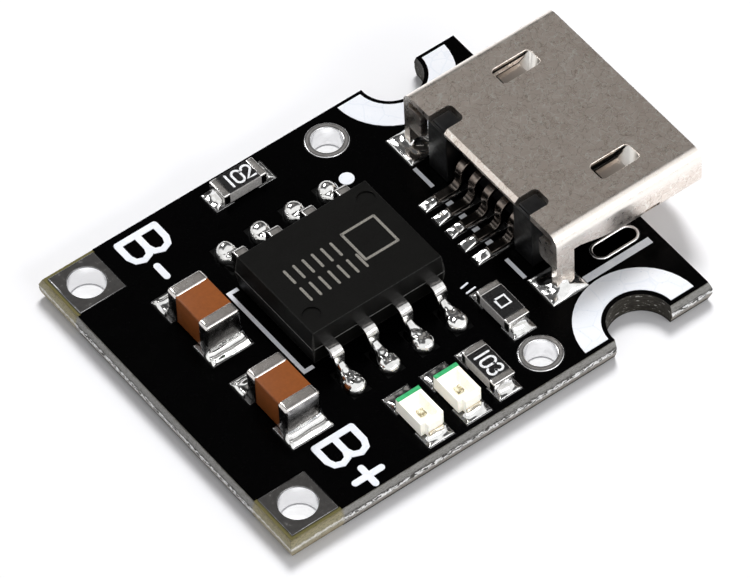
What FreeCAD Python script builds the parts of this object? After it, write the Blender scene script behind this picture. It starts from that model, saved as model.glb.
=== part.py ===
import FreeCAD, Part
import os

import Sketcher

# Lithium battery charger module, in millimetres.
# X runs from the battery end to the USB mouth, Y from the positive to the negative battery pad, Z up.
# The origin is at the middle of the module's footprint, on its underside.

SIZES = {
    # Circuit board
    "board_length": 15.5,
    "board_width": 12.5,
    "laminate_thickness": 0.74,
    "mask_thickness": 0.03,
    "pad_thickness": 0.05,
    "plating_thickness": 0.04,
    "mask_clearance": 0.04,
    "score_bulge": 0.12,
    "score_depth": 0.27,
    "notch_radius": 1.05,
    "notch_station": 13.0,
    "notch_inset": 0.07,
    # Battery pads, eyelets and slots
    "battery_pad_size": 1.7,
    "battery_pad_inset": 0.1,
    "battery_hole_radius": 0.6,
    "eyelet_hole_radius": 0.5,
    "eyelet_ring_radius": 0.7,
    "eyelet_station": 9.92,
    "eyelet_edge_distance": 0.96,
    "slot_station": 14.27,
    "slot_offset": 3.3,
    "slot_length": 1.6,
    "slot_width": 0.6,
    "slot_rim": 0.06,
    # Printed marks
    "print_thickness": 0.02,
    "print_edge_gap": 0.13,
    "crescent_inner_radius": 1.19,
    "crescent_outer_radius": 2.05,
    "line_width": 0.13,
    "long_bar_length": 2.5,
    "long_bar_width": 0.25,
    "long_bar_start": 12.66,
    "long_bar_offset": 3.91,
    "short_bar_length": 0.92,
    "short_bar_offset": 2.27,
    "short_bar_gap": 0.43,
    "tick_width": 0.22,
    "dot_radius": 0.24,
    "dot_reach": 0.25,
    "bracket_gap": 0.38,
    "bracket_hook": 0.4,
    # Charging chip
    "chip_station": 6.78,
    "chip_shift": 0.39,
    "chip_length": 4.9,
    "chip_width": 3.9,
    "chip_height": 1.4,
    "chip_standoff": 0.08,
    "chip_draft": 7.0,
    "chip_edge_break": 0.04,
    "dimple_radius": 0.3,
    "dimple_depth": 0.05,
    "dimple_reach": 1.97,
    "dimple_offset": 1.28,
    "lead_pitch": 1.27,
    "lead_width": 0.42,
    "lead_thickness": 0.2,
    "lead_span": 6.0,
    "lead_shoulder": 0.47,
    "lead_foot": 0.45,
    "lead_lean": 0.13,
    "lead_exit_height": 0.8,
    "lead_bend": 0.09,
    "chip_pad_length": 1.15,
    "chip_pad_width": 0.6,
    "chip_pad_toe": 0.6,
    "chip_joint_place": 3.15,
    "chip_joint_reach": 0.42,
    "slug_length": 3.2,
    "slug_width": 2.3,
    # Micro USB receptacle
    "usb_station": 11.75,
    "shell_length": 5.5,
    "shell_width": 7.5,
    "shell_height": 2.35,
    "shell_wall": 0.25,
    "shell_flank_height": 1.1,
    "shell_base_width": 5.4,
    "shell_bend": 0.4,
    "window_start": 2.5,
    "window_length": 1.5,
    "window_width": 0.74,
    "window_inset": 1.35,
    "window_corner": 0.18,
    "latch_width": 0.58,
    "latch_gap": 0.22,
    "latch_slope": 0.45,
    "latch_dip": 0.3,
    "latch_thickness": 0.2,
    "rear_notch_depth": 0.8,
    "rear_notch_width": 0.74,
    "undercut_length": 2.3,
    "undercut_height": 1.5,
    "undercut_shelf": 0.9,
    "leg_width": 0.65,
    "ear_length": 0.85,
    "ear_gap": 0.35,
    "ear_low": 0.9,
    "ear_high": 1.85,
    "ear_corner": 0.2,
    "side_slot_start": 3.35,
    "side_slot_length": 0.55,
    "side_slot_height": 0.3,
    "insulator_face": 0.6,
    "insulator_depth": 1.6,
    "pillar_gap": 0.2,
    "tab_clearance": 0.08,
    "tab_drop": 0.14,
    "tongue_length": 2.5,
    "tongue_width": 3.7,
    "tongue_thickness": 0.65,
    "tongue_underside": 1.05,
    "tongue_tip": 0.15,
    "contact_pitch": 0.65,
    "contact_width": 0.3,
    "contact_thickness": 0.15,
    "contact_reach": 0.7,
    "contact_riser": 0.14,
    "contact_bend": 0.28,
    "contact_tip_gap": 0.35,
    "usb_pad_length": 1.65,
    "usb_pad_width": 0.4,
    "usb_pad_toe": 0.53,
    "anchor_pad_length": 1.35,
    "anchor_pad_width": 1.3,
    "anchor_pad_heel": 0.45,
    "anchor_pad_offset": 3.5,
    # Capacitors
    "capacitor_station": 2.76,
    "capacitor_1_place": 1.75,
    "capacitor_2_place": -2.2,
    "capacitor_length": 2.0,
    "capacitor_width": 1.25,
    "capacitor_height": 1.25,
    "capacitor_band": 0.42,
    "capacitor_round": 0.12,
    "cap_plate": 0.03,
    "capacitor_pad_width": 1.5,
    "capacitor_pad_gap": 1.1,
    "capacitor_pad_length": 1.05,
    "capacitor_pad_shift": 0.15,
    # Resistors
    "resistor_length": 1.6,
    "resistor_width": 0.8,
    "resistor_height": 0.45,
    "resistor_band": 0.25,
    "resistor_plate": 0.03,
    "coating_thickness": 0.04,
    "coating_margin": 0.025,
    "resistor_1_station": 6.73,
    "resistor_1_edge": 0.77,
    "resistor_2_station": 10.02,
    "resistor_2_edge": 2.92,
    "resistor_3_station": 8.28,
    "resistor_3_edge": 1.37,
    "resistor_pad_width": 0.86,
    "resistor_pad_gap": 0.9,
    "resistor_pad_length": 0.67,
    # Indicator lamps
    "lamp_1_station": 5.64,
    "lamp_2_station": 7.03,
    "lamp_edge": 1.16,
    "lamp_length": 1.5,
    "lamp_width": 0.85,
    "lamp_height": 0.6,
    "lamp_plate": 0.06,
    "lamp_band": 0.3,
    "lamp_notch": 0.16,
    "cup_length": 0.95,
    "cup_width": 0.6,
    "cup_depth": 0.3,
    "cup_draft": 20.0,
    "die_length": 0.26,
    "die_width": 0.22,
    "die_height": 0.08,
    "mark_length": 0.14,
    "mark_thickness": 0.02,
    "lamp_pad_width": 0.95,
    "lamp_pad_gap": 0.85,
    "lamp_pad_length": 0.75,
    "lamp_pad_shift": 0.16,
    # Solder joints
    "solder_height": 0.38,
    "solder_side": 0.06,
    "solder_margin": 0.03,
    "solder_crown": 0.45,
    "capacitor_solder_height": 0.75,
    "resistor_solder_height": 0.28,
    "lamp_solder_height": 0.24,
    "contact_solder_height": 0.13,
    "contact_solder_reach": 0.3,
    "leg_solder_height": 0.42,
    "leg_solder_reach": 0.39,
}

doc = FreeCAD.newDocument("ChargerModule")
sheet = doc.addObject("Spreadsheet::Sheet", "Sizes")
for row, (alias, number) in enumerate(SIZES.items(), start=1):
    sheet.set(f"A{row}", alias)
    sheet.set(f"B{row}", str(number))
    sheet.setAlias(f"B{row}", alias)
doc.recompute()


class Size:
    """A length or an angle: its value, and the expression that binds it to the sheet."""

    def __init__(self, value, text):
        self.value = value
        self.text = text

    def __add__(self, other):
        other = as_size(other)
        return Size(self.value + other.value, f"({self.text} + {other.text})")

    def __sub__(self, other):
        other = as_size(other)
        return Size(self.value - other.value, f"({self.text} - {other.text})")

    def __mul__(self, other):
        other = as_size(other)
        return Size(self.value * other.value, f"({self.text} * {other.text})")

    def __truediv__(self, other):
        other = as_size(other)
        return Size(self.value / other.value, f"({self.text} / {other.text})")

    def __neg__(self):
        return Size(-self.value, f"(0 - {self.text})")

    def root(self):
        return Size(self.value**0.5, f"sqrt({self.text})")


def as_size(number):
    """A plain number as a Size, so that both can stand in one sum."""
    if isinstance(number, Size):
        return number
    return Size(float(number), f"({float(number)})")


class Named:
    """Every alias of the sheet as an attribute that is a Size."""

    def __getattr__(self, alias):
        return Size(float(sheet.get(alias)), f"Sizes.{alias}")


n = Named()
zero = as_size(0)


# Sketches and features

def new_body(label):
    body = doc.addObject("PartDesign::Body", label)
    body.Label = label
    body.AllowCompound = True
    return body


def origin_plane(body, role):
    return next(part for part in body.Origin.OriginFeatures if part.Role == role)


def new_sketch(body, name, role="XY_Plane", lift=None):
    """An empty sketch on one of the body's own planes, lifted along the plane's normal."""
    sketch = body.newObject("Sketcher::SketchObject", f"{body.Label}_{name}")
    sketch.AttachmentSupport = [(origin_plane(body, role), "")]
    sketch.MapMode = "FlatFace"
    if lift is not None:
        sketch.AttachmentOffset = FreeCAD.Placement(FreeCAD.Vector(0, 0, lift.value), FreeCAD.Rotation())
        sketch.setExpression("AttachmentOffset.Base.z", lift.text)
    return sketch


def pin(sketch, piece, corner, x, y):
    """Hold one point of the sketch at x, y, both bound to the sheet."""
    for kind, size in (("DistanceX", x), ("DistanceY", y)):
        size = as_size(size)
        sketch.addConstraint(Sketcher.Constraint(kind, -1, 1, piece, corner, size.value))
        name = f"{kind}{piece}p{corner}"
        sketch.renameConstraint(sketch.ConstraintCount - 1, name)
        sketch.setExpression(f"Constraints.{name}", size.text)


def outline(sketch, points):
    """A closed outline of straight lines through the points."""
    first = sketch.GeometryCount
    points = [(as_size(x), as_size(y)) for x, y in points]
    ends = points[1:] + points[:1]
    for (x, y), (next_x, next_y) in zip(points, ends):
        start = FreeCAD.Vector(x.value, y.value, 0)
        end = FreeCAD.Vector(next_x.value, next_y.value, 0)
        sketch.addGeometry(Part.LineSegment(start, end))
    for number in range(len(points)):
        after = first + (number + 1) % len(points)
        sketch.addConstraint(Sketcher.Constraint("Coincident", first + number, 2, after, 1))
    for number, (x, y) in enumerate(points):
        pin(sketch, first + number, 1, x, y)


def rectangle(sketch, x, y, width, height):
    """A rectangle about its middle."""
    x, y = as_size(x), as_size(y)
    left, right = x - width / 2, x + width / 2
    low, high = y - height / 2, y + height / 2
    outline(sketch, [(left, low), (right, low), (right, high), (left, high)])


def circle(sketch, x, y, radius):
    """A circle about its middle."""
    x, y = as_size(x), as_size(y)
    middle = FreeCAD.Vector(x.value, y.value, 0)
    number = sketch.addGeometry(Part.Circle(middle, FreeCAD.Vector(0, 0, 1), radius.value))
    sketch.addConstraint(Sketcher.Constraint("Radius", number, radius.value))
    name = f"Radius{number}"
    sketch.renameConstraint(sketch.ConstraintCount - 1, name)
    sketch.setExpression(f"Constraints.{name}", radius.text)
    pin(sketch, number, 3, x, y)


def slot(sketch, x, y, length, width):
    """A slot along X with round ends, about its middle: two half circles and two tangent lines."""
    x, y = as_size(x), as_size(y)
    radius = width / 2
    reach = (length - width) / 2
    up = FreeCAD.Vector(0, 0, 1)
    quarter = 1.5707963267948966
    arcs = []
    for side, start in ((1, -quarter), (-1, quarter)):
        middle = x + reach * side
        ring = Part.Circle(FreeCAD.Vector(middle.value, y.value, 0), up, radius.value)
        arcs.append(sketch.addGeometry(Part.ArcOfCircle(ring, start, start + 2 * quarter)))
    right, left = arcs
    for side, (tail, head) in ((1, (right, left)), (-1, (left, right))):
        high = y + radius * side
        start = FreeCAD.Vector((x + reach * side).value, high.value, 0)
        end = FreeCAD.Vector((x - reach * side).value, high.value, 0)
        line = sketch.addGeometry(Part.LineSegment(start, end))
        sketch.addConstraint(Sketcher.Constraint("Tangent", tail, 2, line, 1))
        sketch.addConstraint(Sketcher.Constraint("Tangent", line, 2, head, 1))
    sketch.addConstraint(Sketcher.Constraint("Radius", right, radius.value))
    name = f"Radius{right}"
    sketch.renameConstraint(sketch.ConstraintCount - 1, name)
    sketch.setExpression(f"Constraints.{name}", radius.text)
    pin(sketch, right, 3, x + reach, y)
    pin(sketch, left, 3, x - reach, y)


def extrude(kind, body, sketch, length, taper, both_ways, backwards):
    feature = body.newObject(f"PartDesign::{kind}", f"{sketch.Name}_{kind}")
    feature.Profile = sketch
    if length is None:
        feature.Type = "ThroughAll"
    else:
        feature.Length = length.value
        feature.setExpression("Length", length.text)
    if taper is not None:
        feature.TaperAngle = taper.value
        feature.setExpression("TaperAngle", taper.text)
    if both_ways:
        feature.SideType = "Symmetric"
    feature.Reversed = backwards
    return feature


def pad(body, sketch, length, taper=None, both_ways=False, backwards=False):
    return extrude("Pad", body, sketch, length, taper, both_ways, backwards)


def pocket(body, sketch, depth=None, taper=None, both_ways=False, backwards=False):
    return extrude("Pocket", body, sketch, depth, taper, both_ways, backwards)


def mirror(body, features, role="XZ_Plane"):
    feature = body.newObject("PartDesign::Mirrored", f"{features[0].Name}_Mirror")
    feature.Originals = features
    feature.MirrorPlane = (origin_plane(body, role), [""])
    body.Tip = feature
    return feature


def straight_edges(feature, direction, corners=None):
    """Names of the straight edges along a direction; corners keeps those that pass the given points."""
    doc.recompute()
    axes = [FreeCAD.Vector(1, 0, 0), FreeCAD.Vector(0, 1, 0), FreeCAD.Vector(0, 0, 1)]
    along = axes["XYZ".index(direction)]
    across = [axis for axis in axes if axis != along]
    names = []
    for number, edge in enumerate(feature.Shape.Edges, start=1):
        if not isinstance(edge.Curve, (Part.Line, Part.LineSegment)):
            continue
        if abs(abs(edge.tangentAt(edge.FirstParameter).dot(along)) - 1) > 1e-6:
            continue
        place = edge.Vertexes[0].Point
        spot = [place.dot(axis) for axis in across]
        if corners is None or any(is_at(spot, corner) for corner in corners):
            names.append(f"Edge{number}")
    return names


def is_at(spot, corner):
    return all(abs(number - as_size(size).value) < 1e-4 for number, size in zip(spot, corner))


def round_edges(body, feature, edges, radius):
    fillet = body.newObject("PartDesign::Fillet", f"{feature.Name}_Round")
    fillet.Base = (feature, edges)
    fillet.Radius = radius.value
    fillet.setExpression("Radius", radius.text)
    return fillet


def place(piece, x, y, z, turn=0):
    """Put a piece at x, y, z, turned about Z by whole degrees."""
    spots = [as_size(size) for size in (x, y, z)]
    base = FreeCAD.Vector(*[size.value for size in spots])
    piece.Placement = FreeCAD.Placement(base, FreeCAD.Rotation(FreeCAD.Vector(0, 0, 1), turn))
    for axis, size in zip("xyz", spots):
        piece.setExpression(f"Placement.Base.{axis}", size.text)


nodes = []


def keep(piece):
    """List a finished sub-part, which becomes a file of its own."""
    nodes.append(piece)
    return piece


# Levels and reference edges that every piece shares

laminate_top = n.mask_thickness + n.laminate_thickness
mask_top = laminate_top + n.mask_thickness
pad_top = laminate_top + n.pad_thickness
battery_edge = (n.score_bulge - n.usb_station - n.shell_length) / 2
half_width = n.board_width / 2
battery_pad_place = n.battery_pad_inset + n.battery_pad_size / 2
battery_pad_side = half_width - battery_pad_place
eyelet_side = half_width - n.eyelet_edge_distance
notch_side = half_width - n.notch_inset
resistor_1_place = half_width - n.resistor_1_edge
resistor_2_place = n.resistor_2_edge - half_width
resistor_3_place = n.resistor_3_edge - half_width
lamp_place = n.lamp_edge - half_width


def on_board(x, y):
    """A place on the board, from its battery end and its centre line, in the module's frame."""
    return battery_edge + x, as_size(y)


# Footprints: each pad is its middle and its two widths, in the board's frame

def pair_of_pads(x, y, gap, length, width, shift=zero, turned=False):
    """Two pads either side of a part, along Y, or along X where the part is turned."""
    reach = (gap + length) / 2
    pads = []
    for side in (-1, 1):
        if turned:
            pads.append((x + reach * side + shift, as_size(y), length, width))
        else:
            pads.append((x, y + reach * side + shift, width, length))
    return pads


def chip_footprint():
    pads = []
    reach = n.lead_span / 2 + n.chip_pad_toe - n.chip_pad_length / 2
    for side in (-1, 1):
        for number in range(4):
            x = n.chip_station + n.lead_pitch * (number - 1.5)
            pads.append((x, n.chip_shift + reach * side, n.chip_pad_width, n.chip_pad_length))
    pads.append((n.chip_station, n.chip_shift, n.slug_length, n.slug_width))
    return pads


def usb_footprint():
    pads = []
    middle = n.usb_station - n.contact_reach - n.usb_pad_toe + n.usb_pad_length / 2
    for number in range(5):
        pads.append((middle, n.contact_pitch * (number - 2), n.usb_pad_length, n.usb_pad_width))
    anchor = n.usb_station - n.anchor_pad_heel + n.anchor_pad_length / 2
    for side in (-1, 1):
        pads.append((anchor, n.anchor_pad_offset * side, n.anchor_pad_length, n.anchor_pad_width))
    return pads


def capacitor_footprint(y):
    return pair_of_pads(n.capacitor_station, y, n.capacitor_pad_gap, n.capacitor_pad_length,
                        n.capacitor_pad_width, shift=n.capacitor_pad_shift)


def resistor_footprint(x, y, turned=False):
    return pair_of_pads(x, y, n.resistor_pad_gap, n.resistor_pad_length,
                        n.resistor_pad_width, turned=turned)


def lamp_footprint(x):
    return pair_of_pads(x, lamp_place, n.lamp_pad_gap, n.lamp_pad_length, n.lamp_pad_width,
                        shift=n.lamp_pad_shift)


footprints = {
    "chip": chip_footprint(),
    "usb": usb_footprint(),
    "capacitors": capacitor_footprint(n.capacitor_1_place) + capacitor_footprint(n.capacitor_2_place),
    "resistor_1": resistor_footprint(n.resistor_1_station, resistor_1_place, turned=True),
    "resistor_2": resistor_footprint(n.resistor_2_station, resistor_2_place),
    "resistor_3": resistor_footprint(n.resistor_3_station, resistor_3_place),
    "lamps": lamp_footprint(n.lamp_1_station) + lamp_footprint(n.lamp_2_station),
}


# Circuit board: glass-epoxy laminate snapped from a scored panel, so each edge bulges in the middle

def board_rectangle(sketch, grow):
    rectangle(sketch, n.board_length / 2, 0, n.board_length + grow * 2, n.board_width + grow * 2)


def make_board():
    body = new_body("circuit_board")
    levels = [(n.mask_thickness, zero),
              (n.mask_thickness + n.score_depth, n.score_bulge),
              (laminate_top - n.score_depth, n.score_bulge),
              (laminate_top, zero)]
    sections = []
    for number, (level, grow) in enumerate(levels):
        section = new_sketch(body, f"level{number}", lift=level)
        board_rectangle(section, grow)
        sections.append(section)
    loft = body.newObject("PartDesign::AdditiveLoft", "circuit_board_loft")
    loft.Profile = sections[0]
    loft.Sections = sections[1:]
    loft.Ruled = True
    drill = new_sketch(body, "drill")
    wall = n.plating_thickness
    for side in (-1, 1):
        circle(drill, battery_pad_place, battery_pad_side * side, n.battery_hole_radius + wall)
        circle(drill, n.eyelet_station, eyelet_side * side, n.eyelet_hole_radius + wall)
        circle(drill, n.notch_station, notch_side * side, n.notch_radius)
        slot(drill, n.slot_station, n.slot_offset * side, n.slot_length, n.slot_width)
    pocket(body, drill, both_ways=True)
    place(body, *on_board(zero, zero), zero)
    return keep(body)


def open_mask(body, lift, thickness, with_footprint):
    """A mask layer: the board's face less a clear margin round everything that is bare metal."""
    layer = new_sketch(body, "layer", lift=lift)
    board_rectangle(layer, zero)
    pad(body, layer, thickness)
    gap = n.mask_clearance
    openings = new_sketch(body, "openings", lift=lift)
    for side in (-1, 1):
        corner = battery_pad_place + n.battery_pad_size / 2 + gap
        edge = half_width * side
        inner = (half_width - corner) * side
        outline(openings, [(zero, inner), (corner, inner), (corner, edge), (zero, edge)])
        circle(openings, n.eyelet_station, eyelet_side * side, n.eyelet_ring_radius + gap)
        circle(openings, n.notch_station, notch_side * side, n.notch_radius)
        rim = (n.slot_rim + gap) * 2
        slot(openings, n.slot_station, n.slot_offset * side, n.slot_length + rim, n.slot_width + rim)
    pocket(body, openings, both_ways=True)
    for name, pads in footprints.items() if with_footprint else ():
        windows = new_sketch(body, name, lift=lift)
        for x, y, width, height in pads:
            rectangle(windows, x, y, width + gap * 2, height + gap * 2)
        pocket(body, windows, both_ways=True)
    place(body, *on_board(zero, zero), zero)
    return keep(body)


def make_copper_pads():
    """Tinned pads under the small parts, joined to the laminate's top face."""
    body = new_body("component_pads")
    for name, pads in footprints.items():
        sketch = new_sketch(body, name, lift=laminate_top)
        for x, y, width, height in pads:
            rectangle(sketch, x, y, width, height)
        pad(body, sketch, n.pad_thickness)
    place(body, *on_board(zero, zero), zero)
    return keep(body)


def square_pad(sketch):
    rectangle(sketch, 0, 0, n.battery_pad_size, n.battery_pad_size)


def ring_pad(sketch):
    circle(sketch, 0, 0, n.eyelet_ring_radius)


def make_plated_hole(label, draw_pad, x, y, radius):
    """A pad on each face, joined by a plated barrel that takes a wire."""
    body = new_body(label)
    faces = (("lower", zero, n.mask_thickness), ("upper", laminate_top, n.pad_thickness))
    for name, level, thickness in faces:
        face = new_sketch(body, name, lift=level)
        draw_pad(face)
        pad(body, face, thickness)
    barrel = new_sketch(body, "barrel", lift=n.mask_thickness)
    circle(barrel, 0, 0, radius + n.plating_thickness)
    pad(body, barrel, n.laminate_thickness)
    bore = new_sketch(body, "bore")
    circle(bore, 0, 0, radius)
    pocket(body, bore, both_ways=True)
    place(body, *on_board(x, y), zero)
    return keep(body)


def make_slot_plating(label, side):
    """A plated slot beside the receptacle, with a thin rim on each face."""
    body = new_body(label)
    rim = n.slot_rim * 2
    layers = (("lower", zero, n.mask_thickness, rim),
              ("barrel", n.mask_thickness, n.laminate_thickness, zero),
              ("upper", laminate_top, n.pad_thickness, rim))
    for name, level, thickness, grow in layers:
        layer = new_sketch(body, name, lift=level)
        slot(layer, zero, zero, n.slot_length + grow, n.slot_width + grow)
        pad(body, layer, thickness)
    bore = new_sketch(body, "bore")
    wall = n.plating_thickness * 2
    slot(bore, zero, zero, n.slot_length - wall, n.slot_width - wall)
    pocket(body, bore, both_ways=True)
    place(body, *on_board(n.slot_station, n.slot_offset * side), zero)
    return keep(body)


def make_print():
    """White print on the mask: crescents round the notches, bars, ticks, a bracket and the pin 1 dot."""
    body = new_body("silkscreen")
    rings = new_sketch(body, "rings", lift=mask_top)
    for side in (-1, 1):
        circle(rings, n.notch_station, notch_side * side, n.crescent_outer_radius)
        circle(rings, n.notch_station, notch_side * side, n.crescent_inner_radius)
    pad(body, rings, n.print_thickness)
    trim = new_sketch(body, "trim", lift=mask_top)
    reach = n.crescent_outer_radius * 2
    for side in (-1, 1):
        low = half_width - n.print_edge_gap
        middle = (low + reach / 2) * side
        rectangle(trim, n.notch_station, middle, reach + n.line_width, reach)
    pocket(body, trim, both_ways=True)
    marks = new_sketch(body, "marks", lift=mask_top)
    bar_x = n.usb_station - n.short_bar_gap
    for side in (-1, 1):
        rectangle(marks, n.long_bar_start + n.long_bar_length / 2, n.long_bar_offset * side,
                  n.long_bar_length, n.long_bar_width)
        rectangle(marks, bar_x, n.short_bar_offset * side, n.line_width, n.short_bar_length)
    for number in range(4):
        rectangle(marks, bar_x, n.contact_pitch * (number - 1.5), n.tick_width, n.line_width)
    back = n.chip_station - n.chip_length / 2 - n.bracket_gap
    tip, inner = back + n.bracket_hook, back + n.line_width
    low, high = n.chip_shift - n.chip_width / 2, n.chip_shift + n.chip_width / 2
    outline(marks, [(back, low), (tip, low), (tip, low + n.line_width), (inner, low + n.line_width),
                    (inner, high - n.line_width), (tip, high - n.line_width), (tip, high), (back, high)])
    dot_x = n.chip_station + n.lead_pitch * 1.5 + n.chip_pad_width / 2 + n.dot_reach + n.dot_radius
    dot_y = n.chip_shift + n.lead_span / 2 + n.chip_pad_toe / 2
    circle(marks, dot_x, dot_y, n.dot_radius)
    pad(body, marks, n.print_thickness)
    place(body, *on_board(zero, zero), zero)
    return keep(body)


make_board()
open_mask(new_body("solder_mask_top"), laminate_top, n.mask_thickness, with_footprint=True)
open_mask(new_body("solder_mask_bottom"), zero, n.mask_thickness, with_footprint=False)
make_copper_pads()
for name, side in (("negative", 1), ("positive", -1)):
    make_plated_hole(f"battery_terminal_{name}", square_pad, battery_pad_place, battery_pad_side * side,
                     n.battery_hole_radius)
    make_plated_hole(f"board_eyelet_{name}_side", ring_pad, n.eyelet_station, eyelet_side * side,
                     n.eyelet_hole_radius)
make_slot_plating("slot_plating_negative_side", 1)
make_slot_plating("slot_plating_positive_side", -1)
make_print()


# Solder joints

def mound(name, x, y, half_width, back, front, height, turn=0):
    """A four-sided mound on a pad, from back to front along Y, narrowing to a flat crown."""
    solid = doc.addObject("Part::Wedge", name)
    crown = n.solder_crown
    limits = {"Xmin": -half_width, "Xmax": half_width, "Ymin": zero, "Ymax": height,
              "Zmin": -front, "Zmax": back, "X2min": -half_width * crown, "X2max": half_width * crown,
              "Z2min": -front * crown, "Z2max": back * crown}
    for limit, size in limits.items():
        setattr(solid, limit, size.value)
        solid.setExpression(limit, size.text)
    place(solid, *on_board(x, y), pad_top)
    about_z = FreeCAD.Rotation(FreeCAD.Vector(0, 0, 1), turn)
    upright = FreeCAD.Rotation(FreeCAD.Vector(1, 0, 0), 90)
    solid.Placement = FreeCAD.Placement(solid.Placement.Base, about_z * upright)
    return solid


def joint_round(name, metal, x, y, half_width, reach, height):
    """Solder round a foot or a leg: a mound, less the metal that it wets."""
    cut = doc.addObject("Part::Cut", name)
    cut.Base = mound(f"{name}_mound", x, y, half_width, reach, reach, height)
    cut.Tool = metal
    return cut


def end_joints(name, x, y, length, pad_end, pad_width, height, shift=zero, turned=False):
    """Solder that climbs both end faces of a part, out to the ends of its pads."""
    joints = []
    for side in (-1, 1):
        reach = pad_end + shift * side - length / 2 - n.solder_margin
        half_way = length / 2 * side
        spot = (x + half_way, y) if turned else (x, y + half_way)
        turn = (0 if side > 0 else 180) - (90 if turned else 0)
        end = "high" if side > 0 else "low"
        joints.append(mound(f"{name}_{end}", *spot, pad_width / 2 - n.solder_margin, zero, reach,
                            height, turn=turn))
    return joints


def group(label, joints):
    bundle = doc.addObject("Part::Compound", label)
    bundle.Label = label
    bundle.Links = joints
    return keep(bundle)


# Charging chip: moulded body with drafted walls either side of the lead plane, in a power package

def make_chip_body():
    body = new_body("chip_body")
    band_low = n.lead_exit_height - n.lead_thickness / 2
    band_high = n.lead_exit_height + n.lead_thickness / 2
    top = n.chip_standoff + n.chip_height
    band = new_sketch(body, "band", lift=band_low)
    rectangle(band, 0, 0, n.chip_length, n.chip_width)
    pad(body, band, n.lead_thickness)
    upper = new_sketch(body, "upper", lift=band_high)
    rectangle(upper, 0, 0, n.chip_length, n.chip_width)
    pad(body, upper, top - band_high, taper=-n.chip_draft)
    lower = new_sketch(body, "lower", lift=band_low)
    rectangle(lower, 0, 0, n.chip_length, n.chip_width)
    shaped = pad(body, lower, band_low - n.chip_standoff, taper=-n.chip_draft, backwards=True)
    doc.recompute()
    rim = [f"Edge{number}" for number, edge in enumerate(shaped.Shape.Edges, start=1)
           if all(abs(corner.Z - top.value) < 1e-4 for corner in edge.Vertexes)]
    round_edges(body, shaped, rim, n.chip_edge_break)
    dimples = new_sketch(body, "dimples", lift=top)
    circle(dimples, n.dimple_reach, n.dimple_offset, n.dimple_radius)
    circle(dimples, -n.dimple_reach, -n.dimple_offset, n.dimple_radius)
    pocket(body, dimples, n.dimple_depth)
    place(body, *on_board(n.chip_station, n.chip_shift), pad_top)
    return keep(body)


def make_chip_lead(number):
    """A gull-wing lead: shoulder from the body's lead band, leaning leg, flat foot on its pad."""
    body = new_body(f"chip_lead_{number}")
    thick = n.lead_thickness
    root = n.chip_width / 2
    toe = n.lead_span / 2
    low, high = n.lead_exit_height - thick / 2, n.lead_exit_height + thick / 2
    outer_top = root + n.lead_shoulder
    outer_low = toe - n.lead_foot
    inner_top = outer_top - thick - n.lead_lean / 2
    corners = [(root, high), (outer_top, high), (outer_low, thick), (toe, thick),
               (toe, zero), (outer_low - thick, zero), (inner_top, low), (root, low)]
    profile = new_sketch(body, "profile", role="YZ_Plane")
    outline(profile, corners)
    strip = pad(body, profile, n.lead_width, both_ways=True)
    outside = straight_edges(strip, "X", [corners[1], corners[5]])
    bent = round_edges(body, strip, outside, n.lead_bend + thick)
    inside = straight_edges(bent, "X", [corners[2], corners[6]])
    round_edges(body, bent, inside, n.lead_bend)
    far_side = number <= 4
    along = 2.5 - number if far_side else number - 6.5
    x = n.chip_station + n.lead_pitch * along
    place(body, *on_board(x, n.chip_shift), pad_top, turn=0 if far_side else 180)
    keep(body)
    side = 1 if far_side else -1
    return joint_round(f"chip_joint_{number}", body, x, n.chip_shift + n.chip_joint_place * side,
                       (n.chip_pad_width + n.solder_side) / 2, n.chip_joint_reach, n.solder_height)


def make_chip_slug():
    """The chip's bare metal underside, soldered to the board to carry its heat away."""
    body = new_body("chip_thermal_pad")
    sketch = new_sketch(body, "slug")
    rectangle(sketch, 0, 0, n.slug_length, n.slug_width)
    pad(body, sketch, n.chip_standoff)
    place(body, *on_board(n.chip_station, n.chip_shift), pad_top)
    return keep(body)


make_chip_body()
chip_joints = [make_chip_lead(number) for number in range(1, 9)]
make_chip_slug()
group("chip_solder", chip_joints)


# Micro USB receptacle: folded steel shell, moulded insulator with its tongue, five bent contacts.
# Its frame starts at the rear of the shell, on the centre line, at the height of the pads.
# A pillar of the insulator stands between the contacts and each ear, under a notch of the shell.

pillar_inner = n.contact_pitch * 2 + n.contact_width / 2 + n.pillar_gap
pillar_outer = n.shell_width / 2 - n.ear_length - n.ear_gap
pillar_width = pillar_outer - pillar_inner
rear_notch_offset = (pillar_inner + pillar_outer) / 2
window_offset = n.shell_width / 2 - n.window_inset


def shell_corners(inset):
    """The shell's section, Y against Z, pulled in evenly by the inset."""
    half, base, flank = n.shell_width / 2, n.shell_base_width / 2, n.shell_flank_height
    run = half - base
    slant = (run * run + flank * flank).root()
    side = half - inset
    shoulder = flank + inset * (slant - flank) / run
    foot = base - inset * (slant - run) / flank
    top = n.shell_height - inset
    return [(-foot, as_size(inset)), (foot, as_size(inset)), (side, shoulder), (side, top),
            (-side, top), (-side, shoulder)]


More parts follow.
